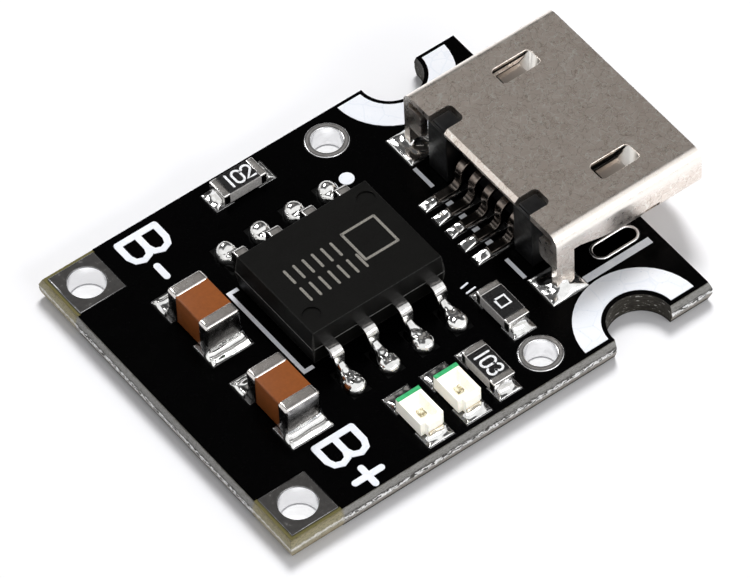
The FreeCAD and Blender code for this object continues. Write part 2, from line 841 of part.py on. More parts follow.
def make_shell():
    body = new_body("usb_shell")
    wall, half = n.shell_wall, n.shell_width / 2
    section = new_sketch(body, "section", role="YZ_Plane")
    outline(section, shell_corners(zero))
    block = pad(body, section, n.shell_length)
    rounded = round_edges(body, block, straight_edges(block, "X"), n.shell_bend)
    hollow = new_sketch(body, "hollow", role="YZ_Plane")
    outline(hollow, shell_corners(wall))
    tube = pocket(body, hollow, both_ways=True)
    inner = straight_edges(tube, "X", shell_corners(wall))
    round_edges(body, tube, inner, n.shell_bend - wall)

    under = new_sketch(body, "undercut", role="XZ_Plane")
    outline(under, [(-wall, -wall), (n.undercut_length, -wall), (n.undercut_length, n.shell_flank_height),
                    (n.undercut_shelf, n.undercut_height), (-wall, n.undercut_height)])
    pocket(body, under, both_ways=True)

    window = new_sketch(body, "window", lift=n.shell_height)
    rectangle(window, n.window_start + n.window_length / 2, window_offset, n.window_length, n.window_width)
    cut = pocket(body, window, wall * 2)
    corners = []
    for x in (n.window_start, n.window_start + n.window_length):
        for y in (window_offset - n.window_width / 2, window_offset + n.window_width / 2):
            corners.append((x, y))
    frame = round_edges(body, cut, straight_edges(cut, "Z", corners), n.window_corner)
    notch = new_sketch(body, "notch", lift=n.shell_height)
    rectangle(notch, zero, rear_notch_offset, n.rear_notch_depth * 2, n.rear_notch_width)
    notched = pocket(body, notch, wall * 2)
    corners = []
    for y in (rear_notch_offset - n.rear_notch_width / 2, rear_notch_offset + n.rear_notch_width / 2):
        corners.append((n.rear_notch_depth, y))
    notch_round = round_edges(body, notched, straight_edges(notched, "Z", corners), n.window_corner)

    side_slot = new_sketch(body, "side_slot", role="XZ_Plane", lift=-half - wall)
    rectangle(side_slot, n.side_slot_start + n.side_slot_length / 2, n.shell_flank_height,
              n.side_slot_length, n.side_slot_height)
    slotted = pocket(body, side_slot, wall * 3, backwards=True)

    leaf = new_sketch(body, "leaf", role="XZ_Plane", lift=-window_offset)
    front = n.window_start + n.window_length
    dip = front - n.latch_slope
    tip = n.window_start + n.latch_gap
    high, low = n.shell_height, n.shell_height - n.latch_dip
    under_leaf = low - n.latch_thickness
    outline(leaf, [(tip, low), (dip, low), (front, high), (front, high - wall), (dip, under_leaf),
                   (tip, under_leaf)])
    latch = pad(body, leaf, n.latch_width, both_ways=True)

    leg = new_sketch(body, "leg", role="XZ_Plane", lift=-half)
    outline(leg, [(zero, zero), (n.leg_width, zero), (n.leg_width, n.undercut_height + wall),
                  (zero, n.undercut_height + wall)])
    strut = pad(body, leg, wall)
    ear = new_sketch(body, "ear", role="YZ_Plane")
    outline(ear, [(half - n.ear_length, n.ear_low), (half - wall / 2, n.ear_low),
                  (half - wall / 2, n.ear_high), (half - n.ear_length, n.ear_high)])
    flap = pad(body, ear, wall)
    free_corners = [(half - n.ear_length, n.ear_low), (half - n.ear_length, n.ear_high)]
    soft_flap = round_edges(body, flap, straight_edges(flap, "X", free_corners), n.ear_corner)
    mirror(body, [cut, frame, notched, notch_round, slotted, latch, strut, flap, soft_flap])
    place(body, *on_board(n.usb_station, zero), pad_top)
    return keep(body)


def make_insulator():
    body = new_body("usb_insulator")
    wall = n.shell_wall
    face = new_sketch(body, "face", role="YZ_Plane", lift=n.insulator_face)
    outline(face, shell_corners(wall))
    block = pad(body, face, n.insulator_depth)
    round_edges(body, block, straight_edges(block, "X"), n.shell_bend - wall)
    pillar = new_sketch(body, "pillar", role="YZ_Plane")
    pillar_height = n.shell_height - wall
    rectangle(pillar, rear_notch_offset, pillar_height / 2, pillar_width, pillar_height)
    post = pad(body, pillar, n.insulator_face)
    tab = new_sketch(body, "tab", lift=n.shell_height - wall)
    gap = n.tab_clearance
    rectangle(tab, n.rear_notch_depth / 2, rear_notch_offset, n.rear_notch_depth - gap * 2,
              n.rear_notch_width - gap * 2)
    key = pad(body, tab, wall - n.tab_drop)
    mirror(body, [post, key])
    tongue = new_sketch(body, "tongue", role="YZ_Plane", lift=n.insulator_face + n.insulator_depth)
    rectangle(tongue, zero, n.tongue_underside + n.tongue_thickness / 2, n.tongue_width, n.tongue_thickness)
    beam = pad(body, tongue, n.tongue_length)
    tip = n.insulator_face + n.insulator_depth + n.tongue_length
    tip_corners = [(tip, n.tongue_underside), (tip, n.tongue_underside + n.tongue_thickness)]
    round_edges(body, beam, straight_edges(beam, "Y", tip_corners), n.tongue_tip)
    channels = new_sketch(body, "channels", role="YZ_Plane")
    for number in range(5):
        rectangle(channels, n.contact_pitch * (number - 2), n.tongue_underside - n.contact_thickness / 2,
                  n.contact_width, n.contact_thickness)
    pocket(body, channels, both_ways=True)
    place(body, *on_board(n.usb_station, zero), pad_top)
    return keep(body)


def make_contact(number):
    """A strip under the tongue that passes through the insulator, steps down and ends in a foot."""
    body = new_body(f"usb_contact_{number}")
    thick = n.contact_thickness
    tip = -n.contact_reach
    riser = n.contact_riser
    high = n.tongue_underside
    front = n.insulator_face + n.insulator_depth + n.tongue_length - n.contact_tip_gap
    corners = [(tip, zero), (riser + thick, zero), (riser + thick, high - thick), (front, high - thick),
               (front, high), (riser, high), (riser, thick), (tip, thick)]
    profile = new_sketch(body, "profile", role="XZ_Plane")
    outline(profile, corners)
    strip = pad(body, profile, n.contact_width, both_ways=True)
    outside = straight_edges(strip, "Y", [corners[1], corners[5]])
    bent = round_edges(body, strip, outside, n.contact_bend + thick)
    inside = straight_edges(bent, "Y", [corners[2], corners[6]])
    round_edges(body, bent, inside, n.contact_bend)
    y = n.contact_pitch * (number - 3)
    place(body, *on_board(n.usb_station, y), pad_top)
    keep(body)
    return mound(f"usb_joint_{number}", n.usb_station - n.contact_reach, y,
                 n.usb_pad_width / 2 - n.solder_margin, zero, n.contact_solder_reach,
                 n.contact_solder_height, turn=90)


shell = make_shell()
make_insulator()
usb_joints = [make_contact(number) for number in range(1, 6)]
for name, side in (("usb_joint_positive", -1), ("usb_joint_negative", 1)):
    usb_joints.append(joint_round(name, shell, n.usb_station + n.leg_width / 2, n.shell_width / 2 * side,
                                  n.leg_width, n.leg_solder_reach, n.leg_solder_height))
group("usb_solder", usb_joints)


# Two-ended parts. Each is built along Y about its middle, on its pads, and may be turned a quarter.

def make_capacitor(number, y):
    """Brown ceramic block with a plated metal cap over each end."""
    label = f"capacitor_{number}"
    plate, band = n.cap_plate, n.capacitor_band
    width, height, length = n.capacitor_width, n.capacitor_height, n.capacitor_length
    block = new_body(f"{label}_ceramic")
    core = new_sketch(block, "core", lift=plate)
    rectangle(core, 0, 0, width - plate * 2, length - plate * 2)
    solid = pad(block, core, height - plate * 2)
    round_edges(block, solid, straight_edges(solid, "Y"), n.capacitor_round - plate)
    place(block, *on_board(n.capacitor_station, y), pad_top)
    keep(block)

    caps = new_body(f"{label}_terminals")
    end = new_sketch(caps, "end", role="XZ_Plane", lift=-length / 2)
    rectangle(end, zero, height / 2, width, height)
    thick = pad(caps, end, band)
    inner = new_sketch(caps, "inner", role="XZ_Plane", lift=band - length / 2)
    rectangle(inner, zero, height / 2, width - plate * 2, height - plate * 2)
    hollow = pocket(caps, inner, band - plate)
    inner_face = [(x, z) for x in (width / 2 - plate, plate - width / 2) for z in (plate, height - plate)]
    inner_edges = straight_edges(hollow, "Y", inner_face)
    soft_inner = round_edges(caps, hollow, inner_edges, n.capacitor_round - plate)
    face = [(x, z) for x in (width / 2, -width / 2) for z in (zero, height)]
    soft = round_edges(caps, soft_inner, straight_edges(soft_inner, "Y", face), n.capacitor_round)
    mirror(caps, [thick, hollow, soft_inner, soft])
    place(caps, *on_board(n.capacitor_station, y), pad_top)
    keep(caps)


def make_resistor(number, x, y, turn=0):
    """White ceramic chip, metal clips round its ends, black coating over the resistive film."""
    label = f"resistor_{number}"
    plate, band = n.resistor_plate, n.resistor_band
    width, height, length = n.resistor_width, n.resistor_height, n.resistor_length
    chip = new_body(f"{label}_ceramic")
    core = new_sketch(chip, "core", lift=plate)
    rectangle(core, 0, 0, width, length - plate * 2)
    pad(chip, core, height - plate * 2)
    place(chip, *on_board(x, y), pad_top, turn=turn)
    keep(chip)

    clips = new_body(f"{label}_terminals")
    profile = new_sketch(clips, "profile", role="YZ_Plane")
    outline(profile, clip_corners(length, height, band, plate))
    clip = pad(clips, profile, width, both_ways=True)
    mirror(clips, [clip])
    place(clips, *on_board(x, y), pad_top, turn=turn)
    keep(clips)

    coating = new_body(f"{label}_coating")
    film = new_sketch(coating, "film", lift=height - plate)
    rectangle(film, 0, 0, width - n.coating_margin * 2, length - band * 2)
    pad(coating, film, n.coating_thickness)
    place(coating, *on_board(x, y), pad_top, turn=turn)
    keep(coating)


def clip_corners(length, height, band, plate):
    """Section of a metal clip folded round the end of a chip: a C open towards the middle."""
    back, front = length / 2, length / 2 - band
    return [(front, zero), (back, zero), (back, height), (front, height), (front, height - plate),
            (back - plate, height - plate), (back - plate, plate), (front, plate)]


def make_lamp(number, x):
    """A small indicator: moulded cup on two clips, die on its floor, clear filling, cathode mark."""
    label = f"lamp_{number}"
    plate, band = n.lamp_plate, n.lamp_band
    width, length, height = n.lamp_width, n.lamp_length, n.lamp_height
    y = lamp_place

    housing = new_body(f"{label}_housing")
    base = new_sketch(housing, "base", lift=plate)
    rectangle(base, 0, 0, width, length - plate * 2)
    pad(housing, base, height - plate)
    cup = new_sketch(housing, "cup", lift=height)
    rectangle(cup, 0, 0, n.cup_width, n.cup_length)
    pocket(housing, cup, n.cup_depth, taper=-n.cup_draft)
    corner = new_sketch(housing, "corner", lift=height)
    end = -length / 2 + plate
    rectangle(corner, width / 2, end, n.lamp_notch * 2, n.lamp_notch * 2)
    rectangle(corner, -width / 2, end, n.lamp_notch * 2, n.lamp_notch * 2)
    pocket(housing, corner, height - plate)
    place(housing, *on_board(x, y), pad_top)
    keep(housing)

    clips = new_body(f"{label}_terminals")
    profile = new_sketch(clips, "profile", role="YZ_Plane")
    back, front = length / 2, length / 2 - band
    outline(profile, [(front, zero), (back, zero), (back, height / 2), (back - plate, height / 2),
                      (back - plate, plate), (front, plate)])
    clip = pad(clips, profile, width - n.lamp_notch * 2, both_ways=True)
    mirror(clips, [clip])
    place(clips, *on_board(x, y), pad_top)
    keep(clips)

    floor = height - n.cup_depth
    die = new_body(f"{label}_die")
    chip = new_sketch(die, "chip", lift=floor)
    rectangle(chip, 0, 0, n.die_width, n.die_length)
    pad(die, chip, n.die_height)
    place(die, *on_board(x, y), pad_top)
    keep(die)

    lens = new_body(f"{label}_filling")
    top = new_sketch(lens, "top", lift=height)
    rectangle(top, 0, 0, n.cup_width, n.cup_length)
    pad(lens, top, n.cup_depth, taper=-n.cup_draft, backwards=True)
    hollow = new_sketch(lens, "hollow", lift=floor)
    rectangle(hollow, 0, 0, n.die_width, n.die_length)
    pocket(lens, hollow, n.die_height, backwards=True)
    place(lens, *on_board(x, y), pad_top)
    keep(lens)

    mark = new_body(f"{label}_cathode_mark")
    stripe = new_sketch(mark, "stripe", lift=height)
    rectangle(stripe, 0, length / 2 - plate - n.mark_length / 2, width, n.mark_length)
    pad(mark, stripe, n.mark_thickness)
    place(mark, *on_board(x, y), pad_top)
    keep(mark)


capacitor_joints = []
pad_end = n.capacitor_pad_gap / 2 + n.capacitor_pad_length
for number, y in ((1, n.capacitor_1_place), (2, n.capacitor_2_place)):
    make_capacitor(number, y)
    capacitor_joints += end_joints(f"capacitor_joint_{number}", n.capacitor_station, y, n.capacitor_length,
                                   pad_end, n.capacitor_pad_width, n.capacitor_solder_height,
                                   shift=n.capacitor_pad_shift)
group("capacitor_solder", capacitor_joints)

resistor_joints = []
pad_end = n.resistor_pad_gap / 2 + n.resistor_pad_length
for number, x, y, turn in ((1, n.resistor_1_station, resistor_1_place, 90),
                           (2, n.resistor_2_station, resistor_2_place, 0),
                           (3, n.resistor_3_station, resistor_3_place, 0)):
    make_resistor(number, x, y, turn)
    resistor_joints += end_joints(f"resistor_joint_{number}", x, y, n.resistor_length, pad_end,
                                  n.resistor_pad_width, n.resistor_solder_height, turned=turn == 90)
group("resistor_solder", resistor_joints)

lamp_joints = []
pad_end = n.lamp_pad_gap / 2 + n.lamp_pad_length
for number, x in ((1, n.lamp_1_station), (2, n.lamp_2_station)):
    make_lamp(number, x)
    lamp_joints += end_joints(f"lamp_joint_{number}", x, lamp_place, n.lamp_length, pad_end,
                              n.lamp_pad_width, n.lamp_solder_height, shift=n.lamp_pad_shift)
group("lamp_solder", lamp_joints)


# Checks, then one file for each sub-part

doc.recompute()
for item in doc.Objects:
    if any(word in item.State for word in ("Invalid", "Error")):
        raise RuntimeError(f"{item.Name} failed: {item.State}")
    if item.TypeId == "PartDesign::Pocket" and item.BaseFeature is not None:
        if item.Shape.Volume >= item.BaseFeature.Shape.Volume - 1e-9:
            raise RuntimeError(f"{item.Name} cut nothing")

os.makedirs("parts", exist_ok=True)
for piece in nodes:
    shape = piece.Shape
    if shape.isNull() or not shape.isValid():
        raise RuntimeError(f"{piece.Label} has no valid shape")
    shape.exportStep(f"parts/{piece.Label}.step")
    print(f"{piece.Label}: {len(shape.Solids)} solids, {shape.Volume:.4f} mm3")
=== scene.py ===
import math

import bmesh
import bpy
import numpy as np
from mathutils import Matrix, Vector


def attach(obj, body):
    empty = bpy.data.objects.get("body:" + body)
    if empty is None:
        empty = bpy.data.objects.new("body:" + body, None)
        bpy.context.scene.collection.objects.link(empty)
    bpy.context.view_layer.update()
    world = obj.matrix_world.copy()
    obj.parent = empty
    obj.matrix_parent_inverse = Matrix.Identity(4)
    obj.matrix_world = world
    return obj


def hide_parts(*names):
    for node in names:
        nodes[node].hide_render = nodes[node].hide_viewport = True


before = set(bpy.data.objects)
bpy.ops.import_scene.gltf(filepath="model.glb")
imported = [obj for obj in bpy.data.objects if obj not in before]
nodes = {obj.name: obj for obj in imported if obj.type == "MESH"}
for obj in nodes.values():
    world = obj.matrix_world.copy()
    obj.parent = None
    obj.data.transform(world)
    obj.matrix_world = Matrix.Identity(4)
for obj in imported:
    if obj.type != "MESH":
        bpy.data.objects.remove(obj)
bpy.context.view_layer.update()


# Circuit board: glass cloth in epoxy, 0.8 mm thick, cut from a panel by scoring both faces and snapping.
# Each straight edge keeps a smooth bevel above and below a torn web with pale broken fibres.

def new_finish(name, colour, roughness, metallic=0.0, **more):
    """A material and a vector that counts the piece's own coordinates in millimetres."""
    material = bpy.data.materials.new(name)
    material.use_nodes = True
    shader = material.node_tree.nodes["Principled BSDF"]
    settings = {"Base_Color": (*colour, 1), "Roughness": roughness, "Metallic": metallic, **more}
    for key, value in settings.items():
        shader.inputs[key.replace("_", " ")].default_value = value
    own = add_node("TexCoord", owner=material).outputs["Object"]
    return material, mapped(own, Scale=(1000, 1000, 1000))


def add_node(kind, settings=None, second=None, owner=None, **inputs):
    """One shader node. An input takes a plain value or another node's output, and the node joins the tree of that
    output; a node that nothing feeds names its owner. The second of two inputs with one name has an argument."""
    fed = [value for value in (*inputs.values(), second) if isinstance(value, bpy.types.NodeSocket)]
    tree = owner.node_tree if owner else fed[0].id_data
    node = tree.nodes.new("ShaderNode" + kind)
    for key, value in (settings or {}).items():
        setattr(node, key, value)
    sockets = [(node.inputs[name.replace("_", " ")], value) for name, value in inputs.items()]
    if second is not None:
        sockets.append((node.inputs[1], second))
    for socket, value in sockets:
        if isinstance(value, bpy.types.NodeSocket):
            tree.links.new(value, socket)
        else:
            socket.default_value = value
    return node


def axis_of(vector, axis):
    return add_node("SeparateXYZ", Vector=vector).outputs[axis]


def absolute(vector):
    return add_node("VectorMath", {"operation": "ABSOLUTE"}, Vector=vector).outputs[0]


def mapped(vector, **change):
    """A vector after a Mapping node's Location, Rotation or Scale."""
    return add_node("Mapping", Vector=vector, **change).outputs[0]


def fade(value, start, end, way="LINEAR"):
    """0 at the start of a range, 1 at its end."""
    return add_node("MapRange", {"interpolation_type": way}, Value=value, From_Min=start, From_Max=end).outputs[0]


def reckon(operation, first, second):
    return add_node("Math", {"operation": operation}, second, Value=first).outputs[0]


def grain(place, scale, detail=2.0, roughness=0.5):
    """Noise between 0 and 1 with so many features to a millimetre."""
    return add_node("TexNoise", Vector=place, Scale=scale, Detail=detail, Roughness=roughness).outputs["Fac"]


def ramp(value, *stops):
    """Colours against a value; a stop is its place and a grey level or a colour."""
    node = add_node("ValToRGB", Fac=value)
    points = node.color_ramp.elements
    while len(points) < len(stops):
        points.new(0.5)
    for point, (place, colour) in zip(points, stops):
        tint = (colour,) * 3 if isinstance(colour, (int, float)) else colour
        point.position = place
        point.color = (*tint, 1)
    return node.outputs["Color"]


def blend_colours(amount, first, second, way="MIX"):
    return add_node("MixRGB", {"blend_type": way}, Fac=amount, Color1=first, Color2=second).outputs[0]


def multiply(first, second):
    return blend_colours(1.0, first, second, "MULTIPLY")


def wire(output, name):
    tree = output.id_data
    tree.links.new(output, tree.nodes["Principled BSDF"].inputs[name])


def shade(name, value, *stops):
    """A ramp that feeds one of the shader's inputs."""
    wire(ramp(value, *stops), name)


def bump(height, micrometres, strength=1.0):
    node = add_node("Bump", Height=height, Strength=strength, Distance=micrometres * 1e-6)
    wire(node.outputs["Normal"], "Normal")


def put_in_scene(name, data):
    thing = bpy.data.objects.new(name, data)
    bpy.context.scene.collection.objects.link(thing)
    return thing


def crossed(rows, columns):
    """Every pair of a row's number and a column's number, as two grids."""
    return np.meshgrid(rows, columns, indexing="ij")


def grid_faces(rows, columns, wrap_rows, wrap_columns):
    """Corner numbers of the quads between neighbouring points of a grid."""
    row, column = crossed(np.arange(rows - (not wrap_rows)), np.arange(columns - (not wrap_columns)))
    below, beside = (row + 1) % rows, (column + 1) % columns
    corners = [row * columns + column, below * columns + column, below * columns + beside, row * columns + beside]
    return np.stack(corners, -1).reshape(-1, 4)


def lay_skin(name, patches, finish, smooth_below=40):
    """One closed or open mesh from grids of points in millimetres, each (points, wrap rows, wrap columns)."""
    points, faces, start = [], [], 0
    for grid, wrap_rows, wrap_columns in patches:
        rows, columns = grid.shape[:2]
        points.append(grid.reshape(-1, 3) / 1000)
        faces.append(grid_faces(rows, columns, wrap_rows, wrap_columns) + start)
        start += rows * columns
    mesh = bpy.data.meshes.new(name)
    mesh.from_pydata(np.concatenate(points).tolist(), [], np.concatenate(faces).tolist())
    work = bmesh.new()
    work.from_mesh(mesh)
    bmesh.ops.remove_doubles(work, verts=work.verts, dist=3e-7)
    bmesh.ops.recalc_face_normals(work, faces=work.faces)
    work.to_mesh(mesh)
    work.free()
    mesh.shade_smooth()
    mesh.set_sharp_from_angle(angle=math.radians(smooth_below))
    mesh.materials.append(finish)
    piece = put_in_scene(name, mesh)
    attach(piece, "root")
    return piece


def closed_relief(x, y, top, base):
    """Patches of a solid between a height over a grid and a flat base: top, base and four walls."""
    upper = np.stack([x, y, top], -1)
    lower = np.stack([x, y, np.zeros_like(x) + base], -1)
    patches = [(upper, False, False), (lower, False, False)]
    for edge in (np.s_[0, :], np.s_[-1, :], np.s_[:, 0], np.s_[:, -1]):
        patches.append((np.stack([upper[edge], lower[edge]]), False, False))
    return patches


def ripple(x, y, pitch, seed):
    """Smooth hills between -1 and 1: four crossed sine waves with seeded directions and phases."""
    chance = np.random.default_rng(seed)
    total = np.zeros(np.broadcast(x, y).shape)
    for angle, phase in zip(chance.uniform(0, np.pi, 4), chance.uniform(0, 2 * np.pi, 4)):
        total += np.sin((x * np.cos(angle) + y * np.sin(angle)) * 2 * np.pi / pitch + phase)
    return total / 4


notch_x, notch_y, notch_radius = 4.435, 6.18, 1.05
pads_x, pads_y = 8.46, 6.145
laminate, place = new_finish("laminate", (0.33, 0.27, 0.18), 0.5, Specular_IOR_Level=0.12)
weave = grain(mapped(place, Scale=(0.5, 0.5, 1.6)), 9, 4, 0.65)
cut_face = ramp(weave, (0.3, (0.24, 0.20, 0.13)), (0.55, (0.38, 0.33, 0.23)), (0.8, (0.60, 0.56, 0.46)))
mirrored = absolute(place)
from_notch = add_node("VectorMath", {"operation": "SUBTRACT"}, (notch_x, notch_y, 0), Vector=mirrored)
flat = mapped(from_notch.outputs[0], Scale=(1, 1, 0))
reach = add_node("VectorMath", {"operation": "LENGTH"}, Vector=flat).outputs["Value"]
in_notch = ramp(fade(reach, notch_radius, notch_radius + 0.07), (0.0, 1.0), (1.0, 0.0))
drilled = ramp(weave, (0.35, (0.022, 0.019, 0.015)), (0.60, (0.05, 0.045, 0.036)), (0.68, (0.6, 0.58, 0.54)))
cut_face = blend_colours(in_notch, cut_face, drilled)
under_mask = ramp(axis_of(place, "Z"), (0.766, 0.0), (0.768, 1.0))
past_pads = [fade(axis_of(mirrored, axis), end - 0.01, end) for axis, end in (("Y", pads_y), ("X", pads_x))]
top_face = blend_colours(blend_colours(1.0, *past_pads, "LIGHTEN"), (0.002, 0.002, 0.002, 1), (0.13, 0.115, 0.045, 1))
wire(blend_colours(under_mask, cut_face, top_face), "Base Color")
bump(weave, 12)


def rounded_copy(node, name, finish, edge, fine=2):
    """The CAD solid again with its triangles joined, its flat faces merged and its edges softened."""
    mesh = nodes[node].data.copy()
    mesh.name = name
    work = bmesh.new()
    work.from_mesh(mesh)
    bmesh.ops.remove_doubles(work, verts=work.verts, dist=2e-7)
    bmesh.ops.dissolve_limit(work, angle_limit=math.radians(0.6), verts=work.verts, edges=work.edges)
    work.to_mesh(mesh)
    work.free()
    mesh.shade_smooth()
    mesh.set_sharp_from_angle(angle=math.radians(16))
    mesh.materials.clear()
    mesh.materials.append(finish)
    piece = put_in_scene(name, mesh)
    if edge:
        soft = piece.modifiers.new("soft_edges", "BEVEL")
        soft.width = edge / 1000
        soft.segments = fine
        soft.limit_method = "ANGLE"
        soft.angle_limit = math.radians(28)
        soft.use_clamp_overlap = False
    flat = piece.modifiers.new("flat_faces", "WEIGHTED_NORMAL")
    flat.keep_sharp = True
    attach(piece, "root")
    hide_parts(node)
    return piece


board = rounded_copy("circuit_board", "board_core", laminate, 0)
corners = np.empty(len(board.data.vertices) * 3)
board.data.vertices.foreach_get("co", corners)
corners = corners.reshape(-1, 3)
half_width, battery_end, usb_end = 6.25, -8.565, 6.935
core_past = 0.05
corners[:, 0] = np.clip(corners[:, 0], (battery_end - core_past) / 1000, (usb_end + core_past) / 1000)
corners[:, 1] = np.clip(corners[:, 1], (-half_width - core_past) / 1000, (half_width + core_past) / 1000)
board.data.vertices.foreach_set("co", corners.ravel())

torn_edge, place = new_finish("torn_edge", (0.6, 0.58, 0.52), 0.6)
height = axis_of(place, "Z")
drawn_out = mapped(place, Scale=(0.30, 0.30, 1.6))
fibres = grain(drawn_out, 13, 4, 0.72)
sway = reckon("ADD", reckon("MULTIPLY", fibres, 0.22), height)
bands = ramp(sway, (0.18, (0.06, 0.045, 0.03)), (0.27, (0.27, 0.245, 0.21)), (0.42, (0.38, 0.36, 0.33)),
             (0.45, (1.0, 1.0, 0.99)), (0.57, 1.0), (0.60, (0.03, 0.025, 0.02)),
             (0.66, (0.27, 0.265, 0.25)), (0.84, (0.31, 0.305, 0.285)), (0.88, (0.09, 0.08, 0.065)))
khaki = ramp(sway, (0.18, (0.22, 0.17, 0.08)), (0.30, (0.36, 0.31, 0.20)), (0.47, (0.40, 0.36, 0.26)),
             (0.52, (0.80, 0.78, 0.72)), (0.58, (0.82, 0.80, 0.75)), (0.62, (0.36, 0.33, 0.21)),
             (0.82, (0.33, 0.29, 0.16)), (0.88, (0.20, 0.17, 0.08)))
by_width = fade(axis_of(absolute(place), "Y"), 4.40, 4.50)
uncoated = multiply(by_width, fade(axis_of(place, "X"), -6.68, -6.78))
tuft = grain(mapped(place, Scale=(1, 1, 2.5)), 4.4, 2, 0.6)
gaps = ramp(tuft, (0.50, 0.0), (0.56, 1.0))
middle = ramp(sway, (0.42, 0.0), (0.46, 1.0), (0.60, 1.0), (0.66, 0.0))
gaps = multiply(gaps, middle)
bands = blend_colours(gaps, bands, (0.035, 0.03, 0.025, 1))
bands = blend_colours(uncoated, bands, khaki)
streaks = ramp(grain(drawn_out, 34, 3, 0.7), (0.32, (0.36, 0.35, 0.33)), (0.52, 1.0))
wire(multiply(bands, streaks), "Base Color")
bump(fibres, 20)

score, bulge = 0.27, 0.108
low, high = 0.03, 0.77


def torn_strip(name, start, end, outward, seed, mitre=(1, 1)):
    """An edge of the board: bevel, web and bevel in height, pushed out by torn fibres along its length. Its ends
    run on by as much as it stands out, where it meets the next edge at a corner."""
    length = math.dist(start, end)
    along = np.linspace(0, 1, int(length / 0.04))
    level = np.array([low, low + score * 0.5, low + score, low + score + 0.05, 0.36, 0.40, 0.44,
                      high - score - 0.05, high - score, high - score * 0.5, high])
    out = np.interp(level, [low, low + score, high - score, high], [0, bulge, bulge, 0]) + 0.004
    web = ((level > low + score * 0.9) & (level < high - score * 0.9)).astype(float)
    u, v = crossed(along, np.arange(len(level)))
    rough = ripple(u * length, level[v], 0.23, seed) + ripple(u * length, level[v], 0.09, seed + 1) * 0.7
    push = out[v] - web[v] * (0.022 - 0.020 * rough)
    run = u * (1 + (mitre[0] + mitre[1]) * push / length) - mitre[0] * push / length
    x = start[0] + (end[0] - start[0]) * run + outward[0] * push
    y = start[1] + (end[1] - start[1]) * run + outward[1] * push
    z = level[v] + web[v] * rough * 0.02
    return lay_skin(name, [(np.stack([x, y, z], -1), False, False)], torn_edge, 60)


notch_half = math.sqrt(notch_radius**2 - (half_width - notch_y) ** 2)
torn_strip("torn_edge_battery_end", (battery_end, half_width), (battery_end, -half_width), (-1, 0), 11)
torn_strip("torn_edge_usb_end", (usb_end, -half_width), (usb_end, half_width), (1, 0), 12)
for side, word in ((-1, "positive"), (1, "negative")):
    torn_strip(f"torn_edge_{word}_long", (battery_end, half_width * side), (notch_x - notch_half, half_width * side),
               (0, side), 13 + side, (1, 0))
    torn_strip(f"torn_edge_{word}_short", (notch_x + notch_half, half_width * side), (usb_end, half_width * side),
               (0, side), 17 + side, (0, 1))


# Solder mask: a thin coat of deep black gloss lacquer on both faces, open over every bare pad.
# It lies almost flat, with a faint orange peel and a little dust.

def dress(names, finish):
    for name in names:
        nodes[name].data.materials.clear()
        nodes[name].data.materials.append(finish)


lacquer, place = new_finish("black_lacquer", (0.0004, 0.0004, 0.0005), 0.22, Specular_IOR_Level=0.03)
shade("Base Color", grain(place, 9, 2, 0.6), (0.76, (0.0004, 0.0004, 0.0005)), (0.84, 0.012))
shade("Roughness", grain(place, 1.3, 3), (0.3, 0.20), (0.75, 0.34))
bump(grain(place, 3, 2), 3, 0.5)
dress(("solder_mask_top", "solder_mask_bottom"), lacquer)


# Bare copper that is levelled with tin: battery pads, eyelets, slots and the small pads.
# The tin is grey with a fine mottle. Its hole walls are painted lighter than the pad faces, a painted highlight,
# and the pads round the chip are painted near black, a painted dark reflection. The eyelets carry painted
# highlight rings and the slot walls are painted dark, a painted shade.

pad_top, chip_top, chip_x, chip_y = 0.82, 2.30, -1.785, 0.39
tin, place = new_finish("levelled_tin", (0.6, 0.6, 0.6), 0.2, 1.0)
mottle = grain(place, 5, 4, 0.6)
face = ramp(mottle, (0.35, (0.19, 0.19, 0.193)), (0.62, 0.24), (0.74, (0.60, 0.60, 0.61)))
level = axis_of(place, "Z")
# Painted highlight: below the pad face the hole walls are painted lighter than the face.
face = blend_colours(ramp(level, (0.775, 1.0), (0.79, 0.0)), face, (0.80, 0.80, 0.81, 1))
from_chip = absolute(mapped(place, Location=(-chip_x, -chip_y, 0)))
# Painted dark reflection: the pads round the chip are painted near black.
painted_dark_pads = [ramp(fade(axis_of(from_chip, axis), start, start + 0.2), (0.3, 1.0), (0.5, 0.0))
          for axis, start in (("X", 2.3), ("Y", 3.7))]
wire(blend_colours(multiply(*painted_dark_pads), face, (0.005, 0.005, 0.005, 1)), "Base Color")
shade("Roughness", grain(place, 2.2, 3), (0.3, 0.14), (0.7, 0.24))
bump(mottle, 3)
for word in ("negative", "positive"):
    rounded_copy(f"battery_terminal_{word}", f"battery_pad_{word}", tin, 0.03)


def four_corners(count):
    """Angles round a rounded rectangle, so many at each corner, and the signs of X and Y of the corner they are at."""
    angle = (np.linspace(0, np.pi / 2, count)[None, :] + np.arange(4)[:, None] * np.pi / 2).ravel()
    return angle, np.repeat([1, -1, -1, 1], count), np.repeat([1, 1, -1, -1], count)


